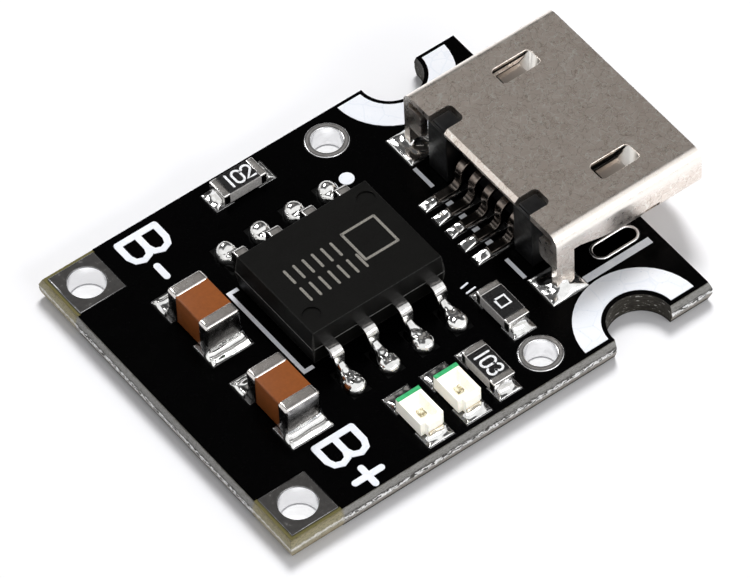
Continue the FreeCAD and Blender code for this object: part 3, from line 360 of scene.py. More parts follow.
def soft_block(low, high, corner, edge, axis=2, fine=4):
    """A closed block: loops of a rounded rectangle stacked along one axis, drawn in at both ends by a quarter
    round and closed on the middle of each end."""
    low, high = np.roll(low, 2 - axis), np.roll(high, 2 - axis)
    half, middle = (high - low) / 2, (high + low) / 2
    turn = np.linspace(0, np.pi / 2, fine)
    inset = np.r_[edge * (1 - np.sin(turn)), edge * (1 - np.sin(turn[::-1]))]
    rise = np.r_[edge * (1 - np.cos(turn)) - half[2], half[2] - edge * (1 - np.cos(turn[::-1]))]
    angle, sign_x, sign_y = four_corners(fine + 1)
    radius = np.maximum(corner - inset, 0.0)[:, None]
    x = sign_x * (half[0] - corner) + radius * np.cos(angle) - sign_x * np.maximum(inset - corner, 0)[:, None]
    y = sign_y * (half[1] - corner) + radius * np.sin(angle) - sign_y * np.maximum(inset - corner, 0)[:, None]
    z = np.repeat(rise[:, None], len(angle), axis=1)
    rings = np.stack([x, y, z], -1)
    floor_cap, roof_cap = (np.tile((0, 0, level), (1, len(angle), 1)) for level in (rise[0], rise[-1]))
    grid = np.concatenate([floor_cap, rings, roof_cap]) + middle
    return (np.roll(grid, axis - 2, axis=-1), False, True)


pads = [(x, y, 0.60, 1.15, 0.27) for x in (-3.69, -2.42, -1.15, 0.12) for y in (-2.635, 3.415)]
pads += [(3.41, y, 1.35, 1.30, 0.03) for y in (-3.5, 3.5)]
pads += [(2.78, 0.65 * (number - 2), 1.65, 0.40, 0.03) for number in range(5)]
pads += [(-5.805, y, 1.50, 1.05, 0.03) for y in (0.825, 2.975, -3.125, -0.975)]
pads += [(x, 5.48, 0.67, 0.86, 0.03) for x in (-2.62, -1.05)]
pads += [(1.455, y, 0.86, 0.67, 0.03) for y in (-4.115, -2.545)]
pads += [(-0.285, y, 0.86, 0.67, 0.03) for y in (-5.665, -4.095)]
pads += [(x, y, 0.95, 0.75, 0.03) for x in (-2.925, -1.535) for y in (-5.73, -4.13)]
blocks = [soft_block([x - long_x / 2, y - long_y / 2, 0.772], [x + long_x / 2, y + long_y / 2, pad_top], corner, 0.02)
          for x, y, long_x, long_y, corner in pads]
piece = lay_skin("small_pads", blocks, tin)
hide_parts("component_pads")

rim_tin, place = new_finish("rim_tin", (0.84, 0.84, 0.85), 0.2, 1.0)
mottle = grain(place, 5, 3, 0.6)
plated = ramp(mottle, (0.3, (0.74, 0.74, 0.75)), (0.6, (0.92, 0.92, 0.93)))
eyelet_x, eyelet_y = 1.355, 5.29
from_axis = mapped(absolute(place), Location=(-eyelet_x, -eyelet_y, 0), Scale=(1, 1, 0))
radius = add_node("VectorMath", {"operation": "LENGTH"}, Vector=from_axis).outputs["Value"]
# Painted highlight and shade: bright and dark rings by radius stand in for light on the eyelets' rims.
rings = ramp(radius, (0.515, 1.0), (0.535, 0.45), (0.56, 0.62), (0.60, 0.85), (0.645, 0.62), (0.665, 0.35),
             (0.685, 1.0))
wire(multiply(plated, rings), "Base Color")
shade("Roughness", mottle, (0.3, 0.14), (0.7, 0.26))
bump(mottle, 3)
for word in ("negative", "positive"):
    rounded_copy(f"board_eyelet_{word}_side", f"eyelet_{word}_side", rim_tin, 0.03, 3)
dress(("chip_thermal_pad",), rim_tin)

slot_tin_painted_dark, place = new_finish("slot_tin_painted_dark", (0.7, 0.7, 0.7), 0.25, 1.0)
# Painted shade: the slot walls below the pad face are painted near black.
shade("Base Color", axis_of(place, "Z"), (0.70, 0.012), (0.80, 0.8))
bump(grain(place, 5, 3), 3)
for word in ("negative", "positive"):
    rounded_copy(f"slot_plating_{word}_side", f"slot_barrel_{word}_side", slot_tin_painted_dark, 0.03)


# White print: screened epoxy ink, faintly blue and slightly mottled where it lies thin over the lacquer. It is given a
# faint glow, a painted light that lifts it where it lies in shade.
# The polarity letters are drawn with one round pen, as a board's lettering is.

# Painted light: the ink glows faintly to lift it where it lies in shade.
ink, place = new_finish("white_ink_painted_glow", (0.84, 0.86, 0.91), 0.55, Emission_Color=(0.92, 0.96, 1.0, 1),
                        Emission_Strength=0.08)
bent = mapped(place, Rotation=(0, 0, 0.5))
wander = blend_colours(0.16, bent, add_node("TexNoise", Vector=bent, Scale=2.0).outputs["Color"], "ADD")
patchy = add_node("TexVoronoi", {"feature": "DISTANCE_TO_EDGE"}, Vector=wander, Scale=1.5).outputs["Distance"]
clear_veil = ramp(grain(place, 1.1, 3), (0.35, (0.70, 0.725, 0.77)), (0.65, (0.75, 0.76, 0.79)))
thin = blend_colours(ramp(patchy, (0.0, 0.45), (0.045, 0.0)), clear_veil, (0.58, 0.63, 0.70, 1))
flecks = ramp(grain(place, 12, 2), (0.26, (0.80, 0.83, 0.88)), (0.33, 1.0))
wire(multiply(thin, flecks), "Base Color")
bump(grain(place, 12, 3), 5)
dress(("silkscreen",), ink)
mask_top = 0.80


def pen_line(path, width, bottom, thickness):
    """A flat ribbon with round ends along a line of points: a left and a right rail, walls and both faces."""
    path = np.array(path, float)
    steps = np.diff(path, axis=0)
    keep = np.r_[True, np.hypot(steps[:, 0], steps[:, 1]) > 1e-6]
    path = path[keep]
    ahead = np.gradient(path, axis=0)
    ahead /= np.hypot(ahead[:, 0], ahead[:, 1])[:, None]
    turn = np.linspace(0, np.pi, 9)[1:-1]
    left, right = (path + np.stack([-ahead[:, 1], ahead[:, 0]], -1) * side * width / 2 for side in (1, -1))
    tips = []
    for tip, way in ((path[0], -ahead[0]), (path[-1], ahead[-1])):
        across = np.array([-way[1], way[0]])
        tips.append(tip + (np.sin(turn)[:, None] * way + np.cos(turn)[:, None] * across) * width / 2)
    head, tail = tips
    half = len(turn) // 2
    left = np.concatenate([head[half:], left, tail[: half + 1]])
    right = np.concatenate([head[half::-1], right, tail[: half - 1: -1]])
    top = bottom + thickness
    rows = [(left, bottom), (left, top), (right, top), (right, bottom)]
    grid = np.stack([np.column_stack([rail, np.full(len(rail), level)]) for rail, level in rows])
    return (grid, True, False)


def arc(middle, radius, start, end, count=14):
    angle = np.radians(np.linspace(start, end, count))
    return [(middle[0] + radius[0] * math.cos(a), middle[1] + radius[1] * math.sin(a)) for a in angle]


def letter_b(height, width):
    """Strokes of a capital B: a stem and two bowls, each a straight run, a half round of five cuts and a run back."""
    waist = height * 0.5
    half = waist / 2
    reach = width - half
    turn = arc((reach, half), (half, half), -90, 90, 5)
    bowl = [(0, 0), *turn, (0, waist)]
    crown = [(x, y + waist) for x, y in bowl]
    return [[(0, 0), (0, height)], bowl, crown]


def set_down(strokes, corner, along, scale=1.0):
    """Strokes turned so that their own X points along a direction in degrees, then moved to a corner."""
    angle = math.radians(along)
    turned = []
    for stroke in strokes:
        points = np.array(stroke, float) * scale
        x = points[:, 0] * math.cos(angle) - points[:, 1] * math.sin(angle) + corner[0]
        y = points[:, 0] * math.sin(angle) + points[:, 1] * math.cos(angle) + corner[1]
        turned.append(np.column_stack([x, y]))
    return turned


def printed(strokes, width, bottom, thickness):
    """Each stroke as a ribbon, a hair thicker than the one before it, so that crossing faces never share a plane."""
    return [pen_line(stroke, width, bottom, thickness * (1 - 0.05 * (len(strokes) - number) / len(strokes)))
            for number, stroke in enumerate(strokes)]


pen = 0.225
marks = []
marks += set_down(letter_b(1.37, 0.95), (-6.08, 5.87), -90)
marks += set_down([[(0, 0), (0.50, 0)]], (-5.59, 4.50), -90)
marks += set_down(letter_b(1.34, 0.96), (-6.04, -4.00), -90)
marks += set_down([[(0, 0), (0.70, 0)], [(0.34, -0.47), (0.34, 0.48)]], (-5.40, -5.42), -90)
lay_skin("polarity_letters", printed(marks, pen, mask_top, 0.02), ink)
ticks = [[(1.02, -1.86), (1.28, -1.82)], [(1.03, -2.12), (1.36, -2.09)]]
lay_skin("thin_ticks", printed(ticks, 0.06, mask_top, 0.02), ink)


# Charging chip: transfer-moulded black epoxy with a fine matt grain and painted highlights along its edges, on eight
# bent legs.
# Its top carries plain pen strokes and an open square, pale grey as a laser leaves it.

def near_edges(place, middle, half, reach):
    """1 along a box's edges, 0 away from them: the greatest product of closeness to two of its three face pairs."""
    offset = add_node("VectorMath", {"operation": "SUBTRACT"}, middle, Vector=place).outputs[0]
    size = absolute(offset)
    split = add_node("SeparateXYZ", Vector=size)
    close = [fade(split.outputs[axis], half[number] - reach, half[number] - reach * 0.3, "SMOOTHSTEP")
             for number, axis in enumerate("XYZ")]
    pairs = [multiply(close[one], close[two]) for one, two in ((0, 1), (1, 2), (0, 2))]
    both = blend_colours(1.0, pairs[0], pairs[1], "LIGHTEN")
    return blend_colours(1.0, both, pairs[2], "LIGHTEN")


epoxy, place = new_finish("moulded_epoxy", (0.004, 0.004, 0.0036), 0.5, Specular_IOR_Level=0.11)
matt = grain(place, 26, 4, 0.7)
skin = ramp(matt, (0.3, (0.002, 0.002, 0.0018)), (0.7, (0.006, 0.0058, 0.0053)), (0.8, (0.05, 0.048, 0.044)))
# Painted highlight: the body's edges are painted lighter.
painted_highlight = near_edges(place, (chip_x, chip_y, 1.60), (2.41, 1.91, 0.70), 0.05)
painted_highlight = multiply(painted_highlight, ramp(matt, (0.42, 0.1), (0.6, 0.8)))
wire(blend_colours(painted_highlight, skin, (0.09, 0.09, 0.086, 1)), "Base Color")
shade("Roughness", grain(place, 2, 2), (0.3, 0.42), (0.8, 0.56))
bump(matt, 4)
rounded_copy("chip_body", "moulded_body", epoxy, 0)

leg_tin, place = new_finish("leg_tin", (0.72, 0.71, 0.70), 0.16, 1.0)
drawn = grain(place, 7, 4, 0.6)
shade("Base Color", drawn, (0.3, (0.60, 0.59, 0.58)), (0.7, (0.84, 0.83, 0.82)))
shade("Roughness", drawn, (0.3, 0.12), (0.7, 0.2))
bump(drawn, 4)


def bent_leg(x, side, shoulder, radius):
    """A strip of 0.2 swept along its own side view: a level shoulder, an arc of 80 degrees, a straight fall, an arc
    back and a level foot. Its section is a rectangle with eased corners that narrows towards the foot."""
    turn = np.radians(np.linspace(0, 80, 12))
    top, foot = 1.62, 0.92
    bend = np.stack([shoulder + radius * np.sin(turn), top - radius * (1 - np.cos(turn))], -1)
    low_radius = 0.16
    fall = foot + low_radius * (1 - math.cos(math.radians(80)))
    low_out = bend[-1, 0] + (bend[-1, 1] - fall) / math.tan(math.radians(80))
    middle = low_out + low_radius * math.sin(math.radians(80))
    back = np.stack([middle - low_radius * np.sin(turn[::-1]), foot + low_radius * (1 - np.cos(turn[::-1]))], -1)
    route = np.concatenate([[(1.75, top), (1.95, top)], bend, back, [(2.96, foot)]])
    ahead = np.gradient(route, axis=0)
    ahead /= np.hypot(ahead[:, 0], ahead[:, 1])[:, None]
    wide = np.interp(route[:, 1], [1.0, 1.45], [0.145, 0.21])
    angle, sign_x, sign_n = four_corners(4)
    ease, half_thick = 0.03, 0.1
    across = sign_x * (wide[:, None] - ease) + ease * np.cos(angle)
    raised = sign_n * (half_thick - ease) + ease * np.sin(angle)
    out = route[:, :1] - ahead[:, 1:] * raised
    level = route[:, 1:] + ahead[:, :1] * raised
    grid = np.stack([x + across, chip_y + side * out, level], -1)
    ends = [np.repeat(grid[place_in_row].mean(0)[None, None], len(angle), axis=1) for place_in_row in (0, -1)]
    return (np.concatenate([ends[0], grid, ends[1]]), False, True)


for number in range(1, 9):
    middle = np.array([corner[:] for corner in nodes[f"chip_lead_{number}"].bound_box]).mean(0) * 1000
    side = 1 if middle[1] > chip_y else -1
    leg = bent_leg(middle[0], side, 2.42 if side > 0 else 2.20, 0.12 if side > 0 else 0.22)
    piece = lay_skin(f"leg_{number}", [leg], leg_tin, 50)
    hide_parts(f"chip_lead_{number}")

flash, place = new_finish("parting_flash", (0.10, 0.10, 0.098), 0.5)
shade("Base Color", grain(place, 14, 3), (0.35, (0.04, 0.04, 0.038)), (0.6, (0.15, 0.148, 0.143)))
seam = []
for low, high in (((-4.21, -1.575), (0.64, -1.545)), ((-4.21, 2.325), (0.64, 2.355)), ((-4.25, -1.54), (-4.22, 2.32)),
                  ((0.65, -1.54), (0.68, 2.32))):
    seam.append(soft_block([*low, 1.60], [*high, 1.63], 0.01, 0.01))
lay_skin("parting_line", seam, flash)

laser, place = new_finish("laser_grey", (0.24, 0.225, 0.20), 0.6)
burn = grain(place, 30, 3, 0.7)
shade("Base Color", burn, (0.35, (0.10, 0.095, 0.085)), (0.6, (0.27, 0.255, 0.225)))
bump(burn, 4)
tally = []
for row, count in ((0.27, 6), (-0.55, 7)):
    for place_in_row in range(count):
        x = chip_x - 1.63 + 0.345 * place_in_row
        tally.append([(x, chip_y + row - 0.27), (x, chip_y + row + 0.27)])
square = [(0.55, -0.60), (1.75, -0.60), (1.75, 0.62), (0.55, 0.62)]
for start, end in zip(square, square[1:] + square[:1]):
    tally.append([(chip_x + start[0], chip_y + start[1]), (chip_x + end[0], chip_y + end[1])])
lay_skin("chip_strokes", printed(tally, 0.085, chip_top - 0.004, 0.008), laser)


# Solder: bright tin alloy that froze as smooth mounds and hollow ramps, wetting the pads to their ends.
# It is mirror bright, with a few slow waves and dull patches of flux.

solder, place = new_finish("bright_solder", (0.86, 0.86, 0.85), 0.10, 1.0)
wave = grain(place, 3.2, 3, 0.55)
shade("Base Color", wave, (0.3, (0.74, 0.74, 0.73)), (0.6, (0.92, 0.92, 0.91)))
shade("Roughness", grain(place, 5, 3), (0.35, 0.06), (0.7, 0.18))
bump(wave, 12)


def solder_ball(x, y, half_x, half_y, height, seed):
    """A round joint over a pad's end: height is the root of one less the square of the way out."""
    slope, angle = crossed(np.linspace(0, np.pi / 2, 24), np.linspace(0, 2 * np.pi, 56, endpoint=False))
    out = np.sin(slope)
    plan_x = x + half_x * out * np.cos(angle)
    plan_y = y + half_y * out * np.sin(angle)
    rise = np.cos(slope) * (1 + 0.05 * ripple(plan_x, plan_y, 0.5, seed))
    top = np.stack([plan_x, plan_y, pad_top + height * rise], -1)
    base = np.stack([plan_x, plan_y, np.full_like(plan_x, pad_top - 0.004)], -1)[::-1]
    return (np.concatenate([top, base]), False, True)


def round_off(way, start):
    """A quarter circle: 1 up to the start, 0 where the way is 1."""
    return np.sqrt(1 - np.clip((way - start) / (1 - start), 0, 1) ** 2)


def solder_drop(x, leg_y, end_y, seed):
    """A drop that runs from a leg to its pad's round end: the width swells and closes as a circle, the height
    falls from the leg as an exponential to a level back, and each cross-section is a flattened dome."""
    along, across = crossed(1 - (1 - np.linspace(0, 1, 46)) ** 1.6, np.linspace(-1, 1, 30))
    tail = np.clip((along - 0.62) / 0.38, 0, 1)
    wide = (0.18 + 0.185 * np.sin(np.clip(along / 0.58, 0, 1) * np.pi / 2) ** 2) * np.sqrt(1 - tail**2)
    crown = 0.16 * np.exp(-((along / 0.2) ** 1.15)) + 0.29 * (1 - tail**2.6) ** 0.5
    dome = (1 - np.abs(across) ** 3.2) ** 0.6
    plan_x = x + across * wide
    plan_y = leg_y + along * (end_y - leg_y)
    top = pad_top + crown * dome * (1 + 0.10 * ripple(plan_x, plan_y, 0.24, seed) * np.sin(along * np.pi))
    return closed_relief(plan_x, plan_y, top, pad_top - 0.004)


def solder_ramp(x, y, facing, half_width, reach, height, seed, pinch, film, climb=0.07, hollowed=False):
    """A joint from a part's end face to its pad's end: it climbs the face as an exponential, lies as a shallow
    dish and ends in a rounded lip; its sides draw in by a sine where it is pinched. A hollowed joint sweeps down
    as (1 - way)^2.3 and falls off to its sides."""
    out, across = crossed(1 - (1 - np.linspace(0, 1, 40)) ** 1.5, np.sin(np.linspace(-1, 1, 40) * np.pi / 2))
    away = out * reach
    side = across * half_width * (1 - pinch * np.sin(np.pi * out**0.8))
    lip = round_off(out, 0.70) * round_off(np.abs(across), 0.72)
    if hollowed:
        dish = film * (0.45 + 0.25 * ripple(side, away, 0.3, seed))
        wall = (height - film) * (1 - out) ** 2.3 * (1 - 0.6 * across**2)
    else:
        raised = 0.75 * np.exp(-(((out - 0.74) / 0.13) ** 2)) + 0.6 * np.exp(-(((np.abs(across) - 0.86) / 0.12) ** 2))
        dish = film * (0.55 + raised) * (1 + 0.25 * ripple(side, away, 0.42, seed))
        wall = (height - film) * np.exp(-((away / climb) ** 1.1)) * (1 - 0.45 * np.abs(across) ** 5)
    top = pad_top + (dish + wall) * lip
    cos, sin = math.cos(math.radians(facing)), math.sin(math.radians(facing))
    away = away - 0.03
    plan_x = x + away * cos - side * sin
    plan_y = y + away * sin + side * cos
    return closed_relief(plan_x, plan_y, np.maximum(top, pad_top + 0.002), pad_top - 0.004)


def solder_pool(low_x, high_x, low_y, high_y, climbs, seed, film):
    """A pool over a rectangular pad: a film that thins at the rim, and a rise of exp(-(distance/reach)^1.3) at
    each wall or pin that it climbs, given as x, y, height, reach along X and reach along Y."""
    u, v = crossed(np.linspace(-1, 1, 46), np.linspace(-1, 1, 46))
    x = (low_x + high_x) / 2 + u * (high_x - low_x) / 2
    y = (low_y + high_y) / 2 + v * (high_y - low_y) / 2
    rim = round_off(np.abs(u), 0.7) * round_off(np.abs(v), 0.7)
    rise = np.full_like(x, film) * (1 + 0.5 * ripple(x, y, 0.4, seed))
    for place_x, place_y, height, reach_x, reach_y in climbs:
        away = np.hypot((x - place_x) / reach_x, (y - place_y) / reach_y)
        rise = rise + height * np.exp(-(away**1.3)) * (1 + 0.06 * ripple(x, y, 0.33, seed + 5))
    return closed_relief(x, y, pad_top + rise * rim, pad_top - 0.004)


beads = []
for number in range(4):
    x = chip_x + 1.27 * (number - 1.5)
    beads += solder_drop(x, chip_y - 2.58, chip_y - 3.62, number)
    beads += solder_drop(x, chip_y + 2.56, chip_y + 3.50, number + 20)
    beads.append(solder_ball(x, chip_y + 3.20, 0.36, 0.37, 0.42, number + 9))
piece = lay_skin("chip_solder_beads", beads, solder, 80)
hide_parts("chip_solder")


# Capacitors: a block of brown barium titanate with a tin-plated silver cap baked over each end.
# The caps wrap every face with soft bright corners and are painted dark below their tops, a painted shade; the brown
# glaze is smooth with tiny pits.

ceramic, place = new_finish("brown_ceramic", (0.22, 0.062, 0.012), 0.42, Specular_IOR_Level=0.3)
body = grain(place, 9, 4, 0.6)
shade("Base Color", body, (0.3, (0.20, 0.056, 0.011)), (0.7, (0.24, 0.068, 0.013)))
bump(grain(place, 30, 3, 0.7), 3)
cap_tin, place = new_finish("cap_tin", (0.80, 0.77, 0.74), 0.24, 1.0)
baked = grain(place, 7, 5, 0.65)
silver = ramp(baked, (0.32, (0.70, 0.67, 0.64)), (0.7, (0.86, 0.83, 0.81)))
# Painted shade: the caps are painted dark below their tops and bright only on the top.
painted_shade_low = ramp(fade(axis_of(place, "Z"), 1.0, 2.1), (0.0, 0.16), (0.70, 0.24), (0.93, 1.0))
wire(multiply(silver, painted_shade_low), "Base Color")
shade("Roughness", grain(place, 3, 3), (0.3, 0.18), (0.7, 0.30))
bump(baked, 4)
ramps = []
cap_x = -5.805
for number, y in ((1, 1.75), (2, -2.2)):
    block = soft_block([cap_x - 0.595, y - 0.97, 0.85], [cap_x + 0.595, y + 0.97, 2.04], 0.05, 0.04, 1)
    piece = lay_skin(f"capacitor_{number}_block", [block], ceramic)
    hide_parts(f"capacitor_{number}_ceramic")
    caps = [soft_block([cap_x - 0.625, start, pad_top], [cap_x + 0.625, start + 0.44, 2.07], 0.13, 0.075, 1, 6)
            for start in (y - 1.0, y + 0.56)]
    piece = lay_skin(f"capacitor_{number}_caps", caps, cap_tin)
    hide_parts(f"capacitor_{number}_terminals")
    ramps += solder_ramp(cap_x, y + 0.98, 90, 0.745, 0.745, 0.55, number, 0.0, 0.085)
    ramps += solder_ramp(cap_x, y - 0.98, -90, 0.745, 0.465, 0.56, number + 4, 0.0, 0.085, 0.06)
piece = lay_skin("capacitor_solder_ramps", ramps, solder, 80)
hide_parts("capacitor_solder")


# Resistors: a white alumina chip with wrapped tin ends and a black glass coat printed over the film.
# The value is printed on the coat in small white figures.

alumina, place = new_finish("white_alumina", (0.62, 0.60, 0.58), 0.6)
pores = grain(place, 20, 3)
shade("Base Color", pores, (0.3, (0.40, 0.385, 0.37)), (0.6, (0.60, 0.585, 0.57)))
bump(pores, 5)
glass_coat, place = new_finish("black_glass_coat", (0.006, 0.006, 0.0065), 0.3)
shade("Roughness", grain(place, 6, 3), (0.3, 0.22), (0.8, 0.42))
bump(grain(place, 14, 2), 4)
ramps = []
end_tin, place = new_finish("end_tin", (0.80, 0.78, 0.76), 0.24, 1.0)
plated = grain(place, 8, 4, 0.6)
shade("Base Color", plated, (0.32, (0.66, 0.65, 0.63)), (0.7, (0.90, 0.88, 0.86)))
bump(plated, 4)
for number, x, y, facing in ((1, -1.835, 5.48, 0), (2, 1.455, -3.33, 90), (3, -0.285, -4.88, 90)):
    rounded_copy(f"resistor_{number}_ceramic", f"resistor_{number}_chip", alumina, 0.012)
    order = -1 if facing else 1
    ends = []
    for start in (-0.8, 0.55):
        low = np.array([*(start, -0.4)[::order], pad_top]) + (x, y, 0)
        high = np.array([*(start + 0.25, 0.4)[::order], 1.27]) + (x, y, 0)
        ends.append(soft_block(low, high, 0.05, 0.035, 1 if facing else 0))
    piece = lay_skin(f"resistor_{number}_ends", ends, end_tin)
    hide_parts(f"resistor_{number}_terminals")
    rounded_copy(f"resistor_{number}_coating", f"resistor_{number}_coat", glass_coat, 0.012)
    for way in (0, 180):
        along = math.radians(facing + way)
        ramps += solder_ramp(x + 0.78 * math.cos(along), y + 0.78 * math.sin(along), facing + way, 0.42, 0.335,
                             0.40, number * 3 + way, 0.28, 0.05, hollowed=True)
piece = lay_skin("resistor_solder_ramps", ramps, solder, 80)
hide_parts("resistor_solder")


def figure(digit):
    """Strokes of a figure in a box one high and 0.56 wide; any other sign gives an open box."""
    wide = 0.56
    half = wide / 2
    if digit == "0":
        return [[*arc((half, 0.72), (half, 0.28), 0, 180), *arc((half, 0.28), (half, 0.28), 180, 360), (wide, 0.72)]]
    if digit == "1":
        return [[(wide * 0.62, 0), (wide * 0.62, 1)]]
    if digit == "2":
        return [[*arc((half, 0.70), (half, 0.30), 160, -30), (0, 0), (wide, 0)]]
    if digit == "3":
        return [[*arc((half, 0.75), (half * 0.9, 0.25), 150, -90), *arc((half, 0.26), (half, 0.26), 90, -150)]]
    return [[(-0.08, 0.14), (-0.08, 0.86), (wide + 0.08, 0.86), (wide + 0.08, 0.14), (-0.08, 0.14)]]


white_figures, place = new_finish("white_figures", (0.80, 0.81, 0.83), 0.5)
shade("Base Color", grain(place, 30, 2), (0.35, (0.55, 0.56, 0.58)), (0.55, (0.86, 0.87, 0.88)))
digits = []
for text, x, y, along, height in (("102", -1.835, 5.48, 0, 0.50), ("o", 1.455, -3.33, -90, 0.50),
                                  ("103", -0.285, -4.88, -90, 0.50)):
    step = 0.70 * height
    start = -step * (len(text) - 1) / 2 - 0.28 * height
    for number, digit in enumerate(text):
        corner = set_down([[(start + step * number, -height / 2)]], (x, y), along)[0][0]
        digits += set_down(figure(digit), corner, along, height)
lay_skin("resistor_figures", printed(digits, 0.078, 1.278, 0.008), white_figures)


# Indicator lamps: a cream reflector cup on two tin clips, filled with clear resin over a small die.
# A green bar is printed across one end of the rim; the cream moulding glows faintly, a painted light.

# Painted light: the cream moulding is given a faint glow.
cream, place = new_finish("cream_moulding_painted_glow", (0.90, 0.86, 0.74), 0.42, Subsurface_Weight=0.15,
                          Subsurface_Radius=(0.0003, 0.0002, 0.0001), Emission_Color=(1.0, 0.97, 0.88, 1),
                          Emission_Strength=0.27)
cloud = grain(place, 6, 3)
shade("Base Color", cloud, (0.3, (0.93, 0.90, 0.79)), (0.7, (0.98, 0.96, 0.88)))
bump(grain(place, 24, 2), 3)
resin, place = new_finish("clear_resin", (0.92, 0.90, 0.78), 0.1, Alpha=0.06)
shade("Base Color", grain(place, 4, 2), (0.3, (0.93, 0.91, 0.80)), (0.7, (0.98, 0.96, 0.88)))
die_finish, place = new_finish("die", (0.35, 0.33, 0.16), 0.3)
bond = grain(place, 12, 2)
shade("Base Color", bond, (0.36, (0.12, 0.09, 0.045)), (0.50, (0.45, 0.39, 0.22)), (0.6, (0.85, 0.81, 0.65)))
green, place = new_finish("green_bar", (0.05, 0.42, 0.20), 0.5)
shade("Base Color", grain(place, 10, 3), (0.3, (0.01, 0.33, 0.10)), (0.75, (0.07, 0.50, 0.20)))
clip_tin, place = new_finish("clip_tin", (0.72, 0.66, 0.54), 0.26, 1.0)
shade("Base Color", grain(place, 8, 3), (0.3, (0.55, 0.48, 0.36)), (0.7, (0.82, 0.78, 0.68)))
ramps = []
for number, x in ((1, -2.925), (2, -1.535)):
    y = -5.09
    rounded_copy(f"lamp_{number}_housing", f"lamp_{number}_cup", cream, 0.02)
    rounded_copy(f"lamp_{number}_terminals", f"lamp_{number}_clips", clip_tin, 0.012)
    rounded_copy(f"lamp_{number}_filling", f"lamp_{number}_resin", resin, 0)
    rounded_copy(f"lamp_{number}_die", f"lamp_{number}_chip", die_finish, 0.006)
    rounded_copy(f"lamp_{number}_cathode_mark", f"lamp_{number}_bar", green, 0.004)
    ramps += solder_ramp(x, y + 0.73, 90, 0.47, 0.605, 0.28, number, 0.15, 0.05, hollowed=True)
    ramps += solder_ramp(x, y - 0.73, -90, 0.47, 0.275, 0.24, number + 4, 0.25, 0.05, hollowed=True)
piece = lay_skin("lamp_solder_ramps", ramps, solder, 80)
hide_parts("lamp_solder")


# Micro USB socket: a nickel-plated steel shell folded round a black nylon block with five sprung contacts.
# The rolled faces carry short curly scratches; every cut edge is bright. The upper sides carry a painted highlight,
# the window leaves a painted sheen and painted shade in their gaps, and the contacts' feet are painted near black,
# a painted dark reflection.

nickel, place = new_finish("nickel_plate", (0.82, 0.735, 0.665), 0.3, 1.0)
cloud = grain(place, 0.9, 4, 0.6)
tone = ramp(cloud, (0.3, (0.79, 0.70, 0.63)), (0.7, (0.85, 0.765, 0.695)))
scratches = []
for scale, width, seed_shift in ((3.6, 0.045, 0.0), (4.6, 0.055, 17.0)):
    shifted = mapped(place, Location=(seed_shift, seed_shift, 0))
    curled = add_node("TexNoise", Vector=shifted, Scale=2.6, Detail=1.0).outputs["Color"]
    curled = blend_colours(0.55, shifted, curled, "ADD")
    away = add_node("TexVoronoi", {"feature": "DISTANCE_TO_EDGE"}, Vector=curled, Scale=scale)
    line = ramp(away.outputs["Distance"], (0.0, 1.0), (width, 0.0))
    broken = ramp(grain(shifted, 3.1, 1), (0.36, 0.0), (0.46, 1.0))
    scratches.append(multiply(line, broken))
tone = blend_colours(blend_colours(0.30, scratches[0], (0, 0, 0, 1)), tone, (0.42, 0.35, 0.29, 1))
tone = blend_colours(blend_colours(0.10, scratches[1], (0, 0, 0, 1)), tone, (1.0, 0.98, 0.92, 1))
# Painted highlight: the upper sides and rounded long edges are painted near white.
beside = fade(axis_of(absolute(place), "Y"), 3.35, 3.60)
painted_highlight = multiply(beside, fade(axis_of(place, "Z"), 2.45, 2.85))
wire(blend_colours(painted_highlight, tone, (0.98, 0.93, 0.87, 1)), "Base Color")
shade("Roughness", grain(place, 4, 4), (0.3, 0.25), (0.7, 0.36))
bump(scratches[1], 0.25)
# Painted light in the windows: a painted sheen that brightens towards the mouth, and painted shade in the gaps.
painted_window_nickel, place = new_finish("window_nickel_painted_light", (0.82, 0.735, 0.665), 0.3, 1.0)
split = add_node("SeparateXYZ", Vector=place)
painted_sheen = ramp(fade(split.outputs["X"], 5.9, 7.1), (0.0, (0.42, 0.37, 0.33)), (0.6, (0.66, 0.59, 0.53)),
             (0.85, (1.0, 0.97, 0.92)))
upright = ramp(fade(split.outputs["Z"], 2.87, 3.17), (0.0, 1.0), (0.45, 1.0), (0.6, 0.0))
off_middle = absolute(mapped(absolute(place), Location=(-6.435, -2.4, 0)))
split = add_node("SeparateXYZ", Vector=off_middle)
rims = [fade(split.outputs[axis], start, start + 0.03) for axis, start in (("X", 0.56), ("Y", 0.24))]
painted_gap_shade = multiply(blend_colours(1.0, *rims, "LIGHTEN"), upright)
wire(blend_colours(painted_gap_shade, painted_sheen, (0.03, 0.026, 0.022, 1)), "Base Color")
bump(grain(place, 6, 3), 4)
shell = rounded_copy("usb_shell", "folded_shell", nickel, 0)
shell.data.materials.append(painted_window_nickel)
shell_start, shell_top = 3.185, 3.17
window_x, window_y = (5.685, 7.185), (2.03, 2.77)
work = bmesh.new()
work.from_mesh(shell.data)
for width, rear_only in ((0.14, True), (0.04, False)):
    chosen = []
    for edge in work.edges:
        x, y, z = (edge.verts[0].co + edge.verts[1].co) * 500
        at_rear = x < shell_start + 0.001 and z > shell_top - 0.01 and abs(y) < 1.9
        near_window = window_x[0] - 0.2 < x < window_x[1] + 0.2 and abs(abs(y) - 2.4) < 0.5 and z > 2.3
        sharp = edge.is_manifold and edge.calc_face_angle(0) > 0.9 and edge.calc_length() > 5e-5
        if sharp and not near_window and at_rear == rear_only:
            chosen.append(edge)
    bmesh.ops.bevel(work, geom=chosen, offset=width / 1000, segments=1 if rear_only else 4, profile=0.5,
                    affect="EDGES", clamp_overlap=True)
for face in work.faces:
    x, y, z = face.calc_center_median() * 1000
    if window_x[0] - 0.01 < x < window_x[1] + 0.01 and abs(abs(y) - 2.4) < 0.38 and 2.75 < z < shell_top - 0.02:
        face.material_index = 1
work.to_mesh(shell.data)
work.free()


